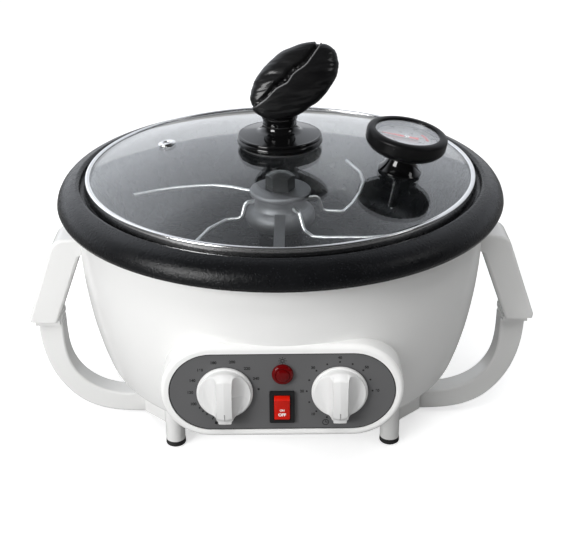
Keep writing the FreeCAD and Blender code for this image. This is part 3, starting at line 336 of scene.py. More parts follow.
@dataclass(frozen=True)
class Wrinkled:
    """Polished black phenolic with long wrinkles, lighter where the piece's own attribute paints a highlight.
    """

    name: str
    light: Colour
    dark: Colour
    depth: float = 0.0006
    gloss: Point = (0.33, 0.42)
    wrinkles: Place = (46.0, 120.0, 120.0)
    paler: float = 0.015
    # Share of the light colour in the painted highlight along the lip.
    lip_highlight: float = 0.9
    grain: float = 700.0
    grain_share: float = 0.03
    coat: float = 0.3
    coat_gloss: float = 0.12
    shine: float = 0.2

    def material(self) -> bpy.types.Material:
        """Build the material.

        Returns:
            The material.
        """
        tree = Tree(self.name)
        along = tree.noise(tree.position(self.wrinkles), 1.0, 3.0, 0.5, 0.8)
        fine = tree.noise(tree.position(), self.grain, 2.0)
        # Painted highlight: the piece's attribute lightens the colour along the crease's lip.
        painted_lip = tree.add("Attribute", attribute_name="lip_highlight").outputs["Fac"]
        shade = tree.math("MULTIPLY_ADD", painted_lip, self.lip_highlight, tree.spread(along, 0.0, self.paler))
        height = tree.math("MULTIPLY_ADD", fine, self.grain_share, along)
        tree.set(Base_Color=tree.blend(shade, self.dark, self.light), Normal=tree.bump(height, self.depth),
                 Roughness=tree.spread(fine, *self.gloss), Coat_Weight=self.coat,
                 Coat_Roughness=self.coat_gloss, Specular_IOR_Level=self.shine)
        return tree.material


@dataclass(frozen=True)
class Clear:
    """Clear or tinted glass, with the faint waviness of a pressed pane."""

    name: str
    tint: Colour
    index: float = 1.5
    wave: float = 0.00003
    waves: float = 26.0
    clouds: float = 12.0
    cloudy: float = 0.97

    def material(self) -> bpy.types.Material:
        """Build the material; the lamps' rays pass straight through.

        Returns:
            The material.
        """
        tree = Tree(self.name)
        place = tree.position()
        cloud = tuple(self.cloudy * part for part in self.tint)
        tree.set(Base_Color=tree.blend(tree.noise(place, self.clouds, 1.0), self.tint, cloud), Roughness=0.0,
                 Normal=tree.bump(tree.noise(place, self.waves, 1.0), self.wave), Transmission_Weight=1.0,
                 IOR=self.index)
        through = tree.add("BsdfTransparent", {"Color": self.tint}).outputs[0]
        tree.feed(tree.output, {"Surface": tree.by_ray("Is Shadow Ray", tree.shader.outputs[0], through)})
        return tree.material


def grey(value: float, blue: float = 0.0) -> Colour:
    """Grey whose blue part may be a little off."""
    return value, value, value + blue


class Finish(Enum):
    """Every finish on the roaster."""

    WHITE = Moulded("white_plastic", grey(0.83, -0.01), grey(0.81, -0.01), (0.24, 0.27), coat=0.1)
    CONTROL = Moulded("control_plastic", grey(0.72, -0.005), grey(0.69, -0.005), (0.26, 0.30))
    COATING = Coated("pan_coating", (0.019, 0.021, 0.024), grey(0.002, 0.0003), (0.23, 0.31), 850.0, 0.00026,
                     shine=0.22)
    GLASS = Clear("lid_glass", (0.93, 0.95, 0.95))
    RING = Brushed("rolled_steel", grey(0.86), grey(0.72), (0.15, 0.2), depth=0.0000002)
    WIRE = Brushed("stirrer_steel", grey(0.86), grey(0.74), (0.30, 0.38), FINE, 0.0000005, False)
    HUB = Brushed("hub_metal", grey(0.23, 0.01), grey(0.15, 0.005), (0.5, 0.62))
    PHENOLIC = Moulded("black_phenolic", grey(0.003, 0.0002), grey(0.002, 0.0002), (0.06, 0.09))
    # Its light colour is mostly a painted highlight along the crease's lip.
    BEAN = Wrinkled("bean_phenolic", grey(0.26, 0.005), grey(0.003, 0.0003), 0.00012)
    GAUGE = Coated("gauge_black", grey(0.009, 0.0005), grey(0.003, 0.0003), (0.3, 0.38), 2400.0, 0.000006,
                   0.3, 0.14)
    DIAL = Brushed("dial_silver", grey(0.72), grey(0.6), (0.34, 0.46), (900.0, 6.0, 6.0), 0.000003, False)
    POINTER = Coated("pointer_red", (0.62, 0.05, 0.04), (0.5, 0.02, 0.02), (0.3, 0.4), 2400.0, 0.000005)
    GAUGE_GLASS = Clear("gauge_glass", (0.95, 0.96, 0.96), 2.1, 0.0000005)
    BAND = Moulded("gauge_band", grey(0.012, 0.0005), grey(0.008, 0.0005), (0.2, 0.28))
    PANEL = Coated("panel_grey", grey(0.13, 0.003), grey(0.098, 0.002), (0.32, 0.42), 3000.0, 0.000006, 0.6)
    LAMP = Moulded("lamp_red", (0.13, 0.001, 0.002), (0.08, 0.0006, 0.001), (0.07, 0.1), shine=0.22)
    ROCKER = Moulded("rocker_red", (0.56, 0.010, 0.003), (0.50, 0.008, 0.002), (0.24, 0.3), shine=0.2)
    NYLON = Moulded("black_nylon", grey(0.012, 0.0005), grey(0.008, 0.0005), (0.3, 0.4), shine=0.25)
    RUBBER = Moulded("black_rubber", grey(0.02), grey(0.012), (0.55, 0.7), peel=0.00006)
    SILICONE = Moulded("silicone", grey(0.03, 0.001), grey(0.022, 0.001), (0.45, 0.55))
    BRONZE = Brushed("bearing_bronze", (0.62, 0.42, 0.2), (0.5, 0.33, 0.15), uv=False)
    ZINC = Brushed("zinc_steel", grey(0.66, 0.02), grey(0.5, 0.02), (0.25, 0.4), EVEN, uv=False)
    ELEMENT = Brushed("element_steel", (0.33, 0.3, 0.28), (0.2, 0.17, 0.16), (0.4, 0.6), EVEN, uv=False)
    SHIELD = Brushed("shield_aluminium", grey(0.78, 0.01), grey(0.66, 0.01), (0.3, 0.45), (60.0, 500.0, 60.0),
                     uv=False)
    TERMINAL = Moulded("terminal_white", (0.78, 0.77, 0.72), (0.7, 0.69, 0.64), (0.4, 0.5))
    NUT = Moulded("nut_grey", grey(0.05, 0.001), grey(0.036, 0.001), (0.2, 0.28))
    INK_DARK = Coated("ink_dark", grey(0.03), grey(0.015), (0.4, 0.5), 2400.0, 0.000003)
    INK_WHITE = Coated("ink_white", (0.9, 0.88, 0.86), (0.8, 0.78, 0.76), (0.4, 0.5), 2400.0, 0.000003)
    INK_RED = Coated("ink_red", (0.7, 0.04, 0.04), (0.55, 0.02, 0.02), (0.4, 0.5), 2400.0, 0.000003)

    def built(self) -> bpy.types.Material:
        """Material of this finish, made once."""
        return bpy.data.materials.get(self.value.name + "_finish") or self.value.material()


# ---------------------------------------------------------------- outlines and curves


def arc(start: Point, middle: Point, end: Point, parts: int) -> list[Point]:
    """Points of a circle through three points, without the first.

    Args:
        start: First point.
        middle: Any point between.
        end: Last point.
        parts: Number of chords.

    Returns:
        The points after the start, up to the end.
    """
    (ax, ay), (bx, by), (cx, cy) = start, middle, end
    a, b, c = ax**2 + ay**2, bx**2 + by**2, cx**2 + cy**2
    d = 2 * (ax * (by - cy) + bx * (cy - ay) + cx * (ay - by))
    ux = (a * (by - cy) + b * (cy - ay) + c * (ay - by)) / d
    uy = (a * (cx - bx) + b * (ax - cx) + c * (bx - ax)) / d
    radius = math.hypot(ax - ux, ay - uy)
    first, half, last = (math.atan2(y - uy, x - ux) for x, y in (start, middle, end))
    turn = (last - first) % math.tau
    if (half - first) % math.tau > turn:
        turn -= math.tau
    angles = [first + turn * i / parts for i in range(1, parts + 1)]
    return [(ux + radius * math.cos(angle), uy + radius * math.sin(angle)) for angle in angles]


def outline(start: Point, *steps: Step, parts: int = 10) -> list[Point]:
    """Outline in radius and height.

    Args:
        start: First point.
        steps: A point each, or the middle and the end of an arc.
        parts: Chords per arc.

    Returns:
        Its points.
    """
    points = [start]
    for step in steps:
        points += arc(points[-1], *step, parts) if isinstance(step[0], tuple) else [step]
    return points


def soften(points: list[Point], radius: float, parts: int = 3, flat: float = 155.0) -> list[Point]:
    """Round the corners of a closed outline, apart from those on the axis.

    Args:
        points: Corners in order.
        radius: Largest distance from a corner to where its rounding starts.
        parts: Chords per corner.
        flat: Angle in degrees past which a corner counts as part of a curve and stays.

    Returns:
        The new outline.
    """
    made = []
    for i, (x, y) in enumerate(points):
        here = Vector((x, y))
        back, ahead = (Vector((points[k][0] - x, points[k][1] - y)) for k in (i - 1, (i + 1) % len(points)))
        if min(x, back.length, ahead.length) < TINY or back.angle(ahead) > math.radians(flat):
            made.append((x, y))
            continue
        cut = min(radius, 0.4 * back.length, 0.4 * ahead.length)
        first, last = here + back.normalized() * cut, here + ahead.normalized() * cut
        for k in range(parts + 1):
            t = k / parts
            made.append(tuple(first * (1 - t) ** 2 + here * 2 * t * (1 - t) + last * t**2))
    return made


def eased(value: float) -> float:
    """Value clamped to 0..1 with a soft start and end."""
    value = min(max(value, 0.0), 1.0)
    return value * value * (3 - 2 * value)


def smooth_min(first: float, second: float, blend: float) -> float:
    """Smaller of two heights with a rounded change-over of the given width."""
    step = max(blend - abs(first - second), 0.0) / blend
    return min(first, second) - step * step * blend / 4


def smooth_max(first: float, second: float, blend: float) -> float:
    """Larger of two heights with a rounded change-over of the given width."""
    return -smooth_min(-first, -second, blend)


def interpolated(stations: Line, x: float) -> float:
    """Height at x on a smooth line through stations, level beyond its ends.

    Args:
        stations: Places and heights in order.
        x: Where the height is wanted.

    Returns:
        The height.
    """
    if x <= stations[0][0]:
        return stations[0][1]
    for i, ((x0, y0), (x1, y1)) in enumerate(zip(stations, stations[1:])):
        if x <= x1:
            before, after = stations[max(i - 1, 0)], stations[min(i + 2, len(stations) - 1)]
            rise_in = (y1 - before[1]) / (x1 - before[0]) * (x1 - x0)
            rise_out = (after[1] - y0) / (after[0] - x0) * (x1 - x0)
            t = (x - x0) / (x1 - x0)
            level = (2 * t**3 - 3 * t**2 + 1) * y0 + (3 * t**2 - 2 * t**3) * y1
            return level + (t**3 - 2 * t**2 + t) * rise_in + (t**3 - t**2) * rise_out
    return stations[-1][1]


# ---------------------------------------------------------------- meshes and pieces


def linked(name: str, data: bpy.types.ID) -> Piece:
    """Link an object to the scene.

    Args:
        name: Its name.
        data: Its mesh, curve, lamp or camera.

    Returns:
        The object.
    """
    piece = bpy.data.objects.new(name, data)
    bpy.context.scene.collection.objects.link(piece)
    return piece


def evaluated(piece: Piece) -> Mesh:
    """Plain mesh of an object with its modifiers carried out."""
    bpy.context.view_layer.update()
    return bpy.data.meshes.new_from_object(piece.evaluated_get(bpy.context.evaluated_depsgraph_get()))


def plain(shape: bmesh.types.BMesh, name: str, place: Matrix | None = None) -> Mesh:
    """Make a shape a mesh.

    Args:
        shape: The shape, used up.
        name: Name of the mesh.
        place: Frame that it is put in.

    Returns:
        The mesh.
    """
    mesh = bpy.data.meshes.new(name)
    shape.to_mesh(mesh)
    shape.free()
    if place:
        mesh.transform(place)
    return mesh


def finished(shape: bmesh.types.BMesh, name: str, place: Matrix | None = None) -> Mesh:
    """Close a shape, point its faces outwards and make it a mesh.

    Args:
        shape: The shape, used up.
        name: Name of the mesh.
        place: Frame that it is put in.

    Returns:
        The mesh.
    """
    bmesh.ops.remove_doubles(shape, verts=shape.verts, dist=WELD)
    bmesh.ops.recalc_face_normals(shape, faces=shape.faces)
    return plain(shape, name, place)


def skinned(rows: list[list[Place]], ring: bool = False) -> bmesh.types.BMesh:
    """Skin over rows of points, each of them closed in itself.

    Args:
        rows: Rows of equal length, in millimetres; a row of one point is a pole.
        ring: Join the last row to the first, instead of a cap on either.

    Returns:
        The shape.
    """
    shape = bmesh.new()
    loops = [[shape.verts.new(Vector(point) * MM) for point in row] for row in rows]
    for low, high in zip(loops, loops[1:] + loops[:1] if ring else loops[1:]):
        count = max(len(low), len(high))
        for k in range(count):
            n = (k + 1) % count
            corners = (low[k % len(low)], high[k % len(high)], high[n % len(high)], low[n % len(low)])
            shape.faces.new(list(dict.fromkeys(corners)))
    for end in () if ring else (loops[0], loops[-1][::-1]):
        if len(end) > 1:
            shape.faces.new(end)
    return shape


def mesh_object(name: str, mesh: Mesh, finish: Finish, sharp: float = 32.0) -> Piece:
    """Object for a mesh, smooth apart from its sharp edges, with its finish.

    Args:
        name: Name of the piece.
        mesh: Its mesh, already in place.
        finish: Its finish.
        sharp: Angle in degrees above which an edge stays sharp.

    Returns:
        The object.
    """
    mesh.name = name
    mesh.materials.clear()
    mesh.materials.append(finish.built())
    mesh.shade_smooth()
    mesh.set_sharp_from_angle(angle=math.radians(sharp))
    return linked(name, mesh)


def turned(name: str, points: list[Point], finish: Finish, place: Matrix | None = None, segments: int = 160,
           soft: float = 0.35, sharp: float = 40.0) -> Piece:
    """Piece of revolution about z with a map that runs round it.

    Args:
        name: Name of the piece.
        points: Closed outline in radius and height, in millimetres.
        finish: Its finish.
        place: Frame that it stands in.
        segments: Steps round the axis.
        soft: Rounding of its corners, in millimetres.
        sharp: Angle in degrees above which an edge stays sharp.

    Returns:
        The object.
    """
    points = soften(points, soft) if soft else points
    shape = bmesh.new()
    layer = shape.loops.layers.uv.new("turned")
    runs = [0.0]
    for before, after in zip(points, points[1:]):
        runs.append(runs[-1] + math.dist(before, after) * MM)
    runs.append(runs[-1] + MM)
    rings = []
    for r, z in points:
        angles = [math.tau * k / segments for k in range(segments if r > TINY else 1)]
        rings.append([shape.verts.new(Vector((r * math.cos(a), r * math.sin(a), z)) * MM) for a in angles])
    for i, low in enumerate(rings):
        high = rings[(i + 1) % len(rings)]
        for k in range(segments if len(low) + len(high) > 2 else 0):
            corners = {}
            for ring, step, run in ((low, k, i), (low, k + 1, i), (high, k + 1, i + 1), (high, k, i + 1)):
                corners.setdefault(ring[step % len(ring)], (step / segments, runs[run]))
            face = shape.faces.new(list(corners))
            for loop, spot in zip(face.loops, corners.values()):
                loop[layer].uv = spot
    return mesh_object(name, finished(shape, name, place), finish, sharp)


def cut_by(piece: Piece, cutters: list[Piece]) -> None:
    """Bore a piece with other solids and drop them.

    Args:
        piece: The piece.
        cutters: The solids.
    """
    for cutter in cutters:
        modifier = piece.modifiers.new("bore", "BOOLEAN")
        modifier.operation = "DIFFERENCE"
        modifier.solver = "EXACT"
        modifier.object = cutter
    mesh = evaluated(piece)
    piece.modifiers.clear()
    piece.data = mesh
    for cutter in cutters:
        bpy.data.objects.remove(cutter)


def joined(name: str, meshes: list[Mesh], finish: Finish) -> Piece:
    """One object from several meshes.

    Args:
        name: Name of the piece.
        meshes: Its parts, already in place.
        finish: Its finish.

    Returns:
        The object.
    """
    shape = bmesh.new()
    for mesh in meshes:
        shape.from_mesh(mesh)
    return mesh_object(name, plain(shape, name), finish)


def put(piece: Piece, body: str, slot: str, *nodes: str) -> None:
    """Ride a finished piece on its body, in place of the nodes that it stands for.

    Args:
        piece: The piece.
        body: Body that carries it.
        slot: Material slot of the record that the piece answers to; not used.
        nodes: Nodes of the frame that it stands for.
    """
    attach(piece, body)
    if nodes:
        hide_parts(*nodes)
    LOG.info("%s rides on %s, %d faces", piece.name, body, len(piece.data.polygons))


def lettering(text: str, size: float, place: Matrix, thick: float = PRINT_THICK) -> Mesh:
    """Raised print of a short text, centred on its place.

    Args:
        text: Characters to print.
        size: Height of the type, in millimetres.
        place: Frame of its middle.
        thick: Thickness of the print, in millimetres.

    Returns:
        The mesh, in place.
    """
    curve = bpy.data.curves.new("print", "FONT")
    curve.body = text
    curve.size = size * MM
    curve.extrude = thick / 2 * MM
    curve.offset = size * BOLD * MM
    curve.align_x = "CENTER"
    curve.align_y = "CENTER"
    carrier = linked("print", curve)
    mesh = evaluated(carrier)
    bpy.data.objects.remove(carrier)
    mesh.transform(place)
    return mesh


# ---------------------------------------------------------------- geometry trees


class GeometryTree(Nodes):
    """Geometry Nodes tree with named inputs, run once on a carrier mesh and then taken off."""

    PREFIX: ClassVar[str] = "GeometryNode"
    KINDS: ClassVar[dict[type, str]] = {bool: "Bool", int: "Int", float: "Float"}

    def __init__(self, name: str, **sizes: float | int | bool) -> None:
        """Start a tree with an input for each size.

        Args:
            name: Name of the tree.
            sizes: Named sizes with their values.
        """
        super().__init__(bpy.data.node_groups.new(name, "GeometryNodeTree"))
        face = self.tree.interface
        for side in ("INPUT", "OUTPUT"):
            face.new_socket("Geometry", in_out=side, socket_type="NodeSocketGeometry")
        self.values = {}
        for key, value in sizes.items():
            socket = face.new_socket(key, in_out="INPUT", socket_type="NodeSocket" + self.KINDS[type(value)])
            self.values[socket.identifier] = value
        self.given = self.add("NodeGroupInput").outputs
        self.sink = self.add("NodeGroupOutput")

    def run(self, name: str, geometry: Socket, finish: Finish, carrier: Mesh) -> Mesh:
        """Close the tree, evaluate it on the carrier and return the plain mesh.

        Args:
            name: Name of the mesh.
            geometry: Socket with the result.
            finish: Finish set by the tree.
            carrier: Mesh that the tree starts from.

        Returns:
            The mesh.
        """
        real = self.add("RealizeInstances", {"Geometry": geometry}).outputs[0]
        dressed = self.add("SetMaterial", {"Geometry": real, "Material": finish.built()})
        self.feed(self.sink, {0: dressed.outputs[0]})
        holder = linked(name, carrier)
        modifier = holder.modifiers.new(name, "NODES")
        modifier.node_group = self.tree
        for key, value in self.values.items():
            modifier[key] = value
        mesh = evaluated(holder)
        holder.modifiers.clear()
        bpy.data.objects.remove(holder)
        return mesh


def bent_wire(name: str, corners: list[Place], radius: float, bend: float, finish: Finish) -> Mesh:
    """Round wire through corner points with bends of one radius.

    Args:
        name: Name of the mesh.
        corners: Corner points, in millimetres.
        radius: Radius of the wire, in millimetres.
        bend: Radius of its bends, in millimetres.
        finish: Its finish.

    Returns:
        The mesh, in place.
    """
    path = bpy.data.meshes.new(name)
    links = [(i, i + 1) for i in range(len(corners) - 1)]
    path.from_pydata([tuple(part * MM for part in corner) for corner in corners], links, [])
    tree = GeometryTree("bent_wire", Radius=radius * MM, Bend=bend * MM)
    curve = tree.add("MeshToCurve", {0: tree.given["Geometry"]}).outputs[0]
    round_off = {"Curve": curve, "Radius": tree.given["Bend"], "Limit Radius": True, "Count": 8}
    fillet = tree.add("FilletCurve", round_off, mode="POLY").outputs[0]
    ring = tree.add("CurvePrimitiveCircle", {"Resolution": 20, "Radius": tree.given["Radius"]}).outputs[0]
    rod = tree.add("CurveToMesh", {"Curve": fillet, "Profile Curve": ring, "Fill Caps": True})
    smooth = tree.add("SetShadeSmooth", {0: rod.outputs[0]})
    return tree.run(name, smooth.outputs[0], finish, path)


def arc_marks(place: Matrix, count: int, radius: float, start: float, end: float, length: float,
              width: float = 0.0, finish: Finish = Finish.INK_DARK) -> Mesh:
    """Printed strokes, or dots where no width is given, at even steps on an arc about a local z axis.

    Args:
        place: Frame of the arc.
        count: Number of marks.
        radius: Radius of their middles, in millimetres.
        start: Angle of the first, in degrees.
        end: Angle of the last, in degrees.
        length: Radial length of a stroke or diameter of a dot, in millimetres.
        width: Width of a stroke, in millimetres.
        finish: Their ink.

    Returns:
        The mesh, in place.
    """
    tree = GeometryTree("arc_marks", Count=count, Radius=radius * MM, Start=math.radians(start),
                        Sweep=math.radians(end - start), Length=length * MM, Width=width * MM,
                        Round=not width, Thickness=PRINT_THICK * MM)
    given = tree.given
    points = tree.add("MeshLine", {"Count": given["Count"]}, mode="OFFSET").outputs[0]
    number = tree.add("InputIndex").outputs[0]
    step = tree.math("DIVIDE", number, tree.math("SUBTRACT", given["Count"], 1.0))
    angle = tree.math("MULTIPLY_ADD", given["Sweep"], step, given["Start"])
    across = tree.math("MULTIPLY", given["Radius"], tree.math("COSINE", angle))
    along = tree.math("MULTIPLY", given["Radius"], tree.math("SINE", angle))
    spot = tree.add("ShaderNodeCombineXYZ", {"X": across, "Y": along}).outputs[0]
    placed = tree.add("SetPosition", {"Geometry": points, "Position": spot}).outputs[0]
    extent = {"X": given["Length"], "Y": given["Width"], "Z": given["Thickness"]}
    stroke = tree.add("MeshCube", {"Size": tree.add("ShaderNodeCombineXYZ", extent).outputs[0]})
    half = tree.math("MULTIPLY", given["Length"], 0.5)
    dot = tree.add("MeshCylinder", {"Vertices": 14, "Radius": half, "Depth": given["Thickness"]})
    kinds = {"Switch": given["Round"], "False": stroke.outputs["Mesh"], "True": dot.outputs["Mesh"]}
    mark = tree.add("Switch", kinds, input_type="GEOMETRY").outputs[0]
    turn = tree.add("ShaderNodeCombineXYZ", {"Z": angle}).outputs[0]
    facing = tree.add("FunctionNodeEulerToRotation", {0: turn}).outputs[0]
    row = tree.add("InstanceOnPoints", {"Points": placed, "Instance": mark, "Rotation": facing})
    mesh = tree.run("marks", row.outputs[0], finish, bpy.data.meshes.new("marks"))
    mesh.transform(place)
    return mesh


def polar(radius: float, degrees: float) -> Point:
    """Place at a radius in a direction."""
    return radius * math.cos(math.radians(degrees)), radius * math.sin(math.radians(degrees))


# ---------------------------------------------------------------- the roaster's pieces


@dataclass
class Pan:
    """Coated pan with its rolled flange, lid ledge, wall, floor and column."""

    floor: float = 131.0
    under: float = 128.5
    ledge: float = 185.2
    edge: float = 177.0
    crest: float = 189.9
    column: float = 146.0
    bore: float = 7.05

    def build(self) -> None:
        """Turn the pan in one piece."""
        top, floor, ledge, column = self.edge, self.floor, self.ledge, self.column
        points = outline(
            (148.9, top - 2.5), (150.0, top), ((146.4, top + 8.2), (138.0, self.crest)),
            ((135.6, top + 12.7), (134.5, top + 11.0)), (134.3, ledge), (127.4, ledge),
            ((125.8, ledge - 0.6), (124.9, ledge - 2.0)), (106.0, floor + 8.0),
            ((102.8, floor + 2.4), (97.0, floor)), (19.5, floor), ((16.7, floor + 1.2), (15.5, floor + 4.0)),
            (15.5, column - 2.0), ((15.0, column - 0.5), (13.5, column)), (self.bore, column),
            (self.bore, column - 2.5), (13.0, column - 2.5), (13.0, self.under), (97.6, self.under),
            ((104.6, floor + 0.4), (108.4, floor + 7.0)), (127.3, ledge - 3.3), (128.2, ledge - 2.2),
            (136.6, ledge - 2.2), (137.6, top + 9.6),
            ((143.6, top + 6.2), (147.2, top - 0.4)), (146.9, top - 2.5), parts=16)
        pan = turned("coated_pan", points, Finish.COATING, segments=256, soft=0.3, sharp=50)
        put(pan, "housing", "pan_coating", "roasting_pan")


@dataclass
class Lid:
    """Glass dome, its rolled rim and the steam eyelet."""

    glass: float = 4.0
    edge: float = 128.9
    ledge: float = 185.2
    rim_low: float = 126.8
    bolt_bore: float = 3.2
    vent_bore: float = 3.45
    sharp: float = 50.0
    steps: int = 40
    gap: float = 0.03

    def dome(self, radius: float, r: float) -> Point:
        """Point of a dome arc at a distance from the axis."""
        return r, DOME_TOP - DOME_RADIUS + math.sqrt(radius**2 - r**2)

    def bore(self, radius: float, place: Matrix) -> Piece:
        """Cutter for a hole through the glass."""
        shape = [(0, -12), (radius, -12), (radius, 12), (0, 12)]
        return turned("bore", shape, Finish.GLASS, place, 40, 0.0)

    def build(self) -> None:
        """Make the three pieces."""
        inner = DOME_RADIUS - self.glass
        reach = [self.edge * i / self.steps for i in range(self.steps + 1)]
        points = [self.dome(DOME_RADIUS, r) for r in reach] + [self.dome(inner, r) for r in reversed(reach)]
        glass = turned("glass_dome", points, Finish.GLASS, segments=256, soft=0.0, sharp=self.sharp)
        cut_by(glass, [self.bore(self.bolt_bore, shift(0.0, 0.0, DOME_TOP - 2)),
                       self.bore(self.bolt_bore, dome_frame(*GAUGE_XY)),
                       self.bore(self.vent_bore, dome_frame(*VENT_XY))])
        glass.data.set_sharp_from_angle(angle=math.radians(self.sharp))
        put(glass, "lid", "lid_glass", "lid_glass")
        low = self.ledge + 0.1
        seat = self.dome(inner, 127.0)[1]
        over, hidden = DOME_RADIUS + self.gap, self.edge + 0.05
        rim = outline((self.rim_low, low), (131.4, low), ((131.9, low + 0.2), (132.0, low + 0.9)),
                      (131.9, low + 2.0), (130.7, low + 6.6), ((130.4, low + 7.7), (129.7, low + 8.0)),
                      ((129.0, low + 8.02), (128.2, low + 7.8)), ((127.75, low + 7.6), (127.7, low + 7.2)),
                      self.dome(over, 127.9), self.dome(over, hidden), self.dome(inner - self.gap, hidden),
                      (self.rim_low, seat - 0.1))
        ring = turned("rolled_rim", rim, Finish.RING, segments=400, soft=0.25)
        put(ring, "lid", "rolled_steel", "lid_ring")
        lips = outline((2.4, -5.4), (5.4, -5.4), (5.4, -4.1), (3.4, -4.1), (3.4, 0.05), (6.2, 0.05),
                       (6.2, 0.5), ((5.6, 1.3), (4.4, 1.5)), ((3.2, 1.45), (2.6, 1.0)), (2.4, 0.4))
        eyelet = turned("steam_eyelet", lips, Finish.RING, dome_frame(*VENT_XY), 64, 0.15)
        put(eyelet, "lid", "rolled_steel", "steam_vent")


@dataclass
class BeanKnob:
    """Bean-shaped grip with its creased face, on a round foot."""

    LIP: ClassVar[Line] = ((-36, 2.2), (-23, 1.2), (-13.9, 2.4), (-8.6, 1.7), (-5.2, 1.2), (1.4, 3.3),
                           (11.5, 3.3), (18.3, 5.3), (23.7, 7.1), (30, 9.4), (36, 11.0))
    WIDTH: ClassVar[Line] = ((-30, 3.0), (-14, 4.2), (-4, 6.2), (8, 5.4), (16, 5.0), (30, 4.0))
    DEPTH: ClassVar[Line] = ((-34, 0.2), (-27, 1.2), (-20, 2.6), (0, 3.2), (20, 3.4), (28, 3.8), (36, 4.2))
    long: float = 33.0
    wide: float = 20.4
    back: float = 15.0
    front: float = 10.5
    seat: float = 210.3
    neck_top: float = 237.0
    neck: float = 11.4
    bolt: float = 2.6
    # The crease's lip, and where it dips towards the bean's end.
    lip_raise: float = 0.4
    lip_width: float = 0.55
    end_from: float = 23.0
    end_long: float = 8.0
    end_depth: float = 1.5
    # Heights of the forms in the crease and on the skin, and the slant of the skin's wrinkles.
    ridge: float = 1.3
    crack: float = 0.9
    wrinkle: float = 0.6
    fine_wrinkle: float = 0.16
    slant: Point = (0.88, 0.47)
    # Painted highlight: a pale line beside the crease's lip, its offset and width.
    highlight_offset: float = 0.15
    highlight_width: float = 0.42

    def beyond(self, along: float, across: float) -> float:
        """Distance of a place on the face beyond the crease's sharp lip."""
        return across - interpolated(self.LIP, along)

    def fold(self, along: float, across: float) -> float:
        """Depth of the crease and of the skin's folds at a place on the face.

        Args:
            along: Distance along the bean, in millimetres.
            across: Distance across it, in millimetres.

        Returns:
            Depth below the smooth form, in millimetres; a raised lip is negative.
        """
        beyond = self.beyond(along, across)
        end = eased((along - self.end_from) / self.end_long)
        if beyond < 0:
            return (self.end_depth * end - self.lip_raise) * math.exp(beyond / (0.6 + 1.8 * end))
        half = 0.5 * interpolated(self.WIDTH, along)
        drop = eased(beyond / self.lip_width)
        inside = drop * (1 - eased((beyond - half) / half))
        ridges = noise.noise(Vector((along * 0.42 + across * 0.3, across * 0.16, 3.0)))
        cracks = abs(noise.noise(Vector((along * 0.9, across * 0.35, 17.0))))
        depth = interpolated(self.DEPTH, along) + self.ridge * ridges + self.crack * cracks
        return depth * inside - self.lip_raise * (1 - drop)

    def lip_highlight_share(self, spot: Vector) -> float:
        """Share of the painted highlight, 1 on the crease's lip, none on the back.

        Args:
            spot: Place on the bean, in millimetres.

        Returns:
            The share.
        """
        if spot.z <= 0:
            return 0.0
        away = (self.beyond(spot.x, spot.y) + self.highlight_offset) / self.highlight_width
        return math.exp(-(away**2)) * eased((spot.x + 34) / 8) * eased((34 - spot.x) / 10)

    def skin(self, along: float, across: float, face: float) -> float:
        """Depth of the long shallow wrinkles that run slantwise over the bean.

        Args:
            along: Distance along the bean, in millimetres.
            across: Distance across it, in millimetres.
            face: Distance out of it, in millimetres.

        Returns:
            The depth, in millimetres.
        """
        straight, aside = self.slant
        u, v = along * straight - across * aside, across * straight + along * aside
        folds = noise.noise(Vector((u * 0.06, v * 0.24, face * 0.08)))
        fine = noise.noise(Vector((u * 0.14, v * 0.62, face * 0.2 + 9)))
        return self.wrinkle * folds + self.fine_wrinkle * fine

    def bean(self) -> Piece:
        """Bean with its crease, wrinkles and a painted highlight along its lip.

        Returns:
            The object.
        """
        shape = bmesh.new()
        bmesh.ops.create_icosphere(shape, subdivisions=7, radius=1.0)
        # The attribute paints a highlight along the crease's lip.
        lip_highlight = shape.verts.layers.float.new("lip_highlight")
        for vert in shape.verts:
            x, y, z = vert.co
            deep = self.front if z > 0 else self.back
            spot = Vector((x * self.long, y * self.wide, z * deep))
            normal = Vector((x / self.long, y / self.wide, z / deep)).normalized()
            depth = self.skin(*spot) + eased((z + 0.28) / 0.4) * self.fold(spot.x, spot.y)
            vert[lip_highlight] = self.lip_highlight_share(spot)
            vert.co = (spot - normal * depth) * MM
        return mesh_object("bean_grip", plain(shape, "bean", bean_frame()), Finish.BEAN, 60)

    def build(self) -> None:
        """Model the bean and turn its collar and foot."""
        top, low, bolt = self.neck_top, self.seat, self.bolt
        put(self.bean(), "lid", "bean_phenolic", "bean_knob")
        collar = outline((0, top + 0.1), (11.6, top + 0.1), (11.6, top - 9), (12.0, top - 9),
                         ((12.2, top - 5.5), (14.2, top - 1.5)), (14.6, top + 3), (0, top + 3))
        collar = turned("bean_collar", collar, Finish.PHENOLIC, None, 96, 0.3)
        put(collar, "lid", "bean_phenolic", "bean_knob")
        foot = outline((bolt, low), (25.6, low), ((28.1, low + 0.6), (28.75, low + 2.2)),
                       ((28.55, low + 3.5), (27.7, low + 4.4)), (27.3, low + 4.6), (27.5, low + 4.9),
                       ((28.0, low + 5.1), (28.1, low + 5.5)), ((27.8, low + 6.1), (26.6, low + 6.4)),
                       (16.5, low + 8.3), ((12.6, low + 10.3), (self.neck, low + 14.7)), (self.neck, top),
                       (bolt, top), parts=14)
        put(turned("knob_foot", foot, Finish.PHENOLIC, None, 192, 0.25), "lid", "black_phenolic", "knob_base")


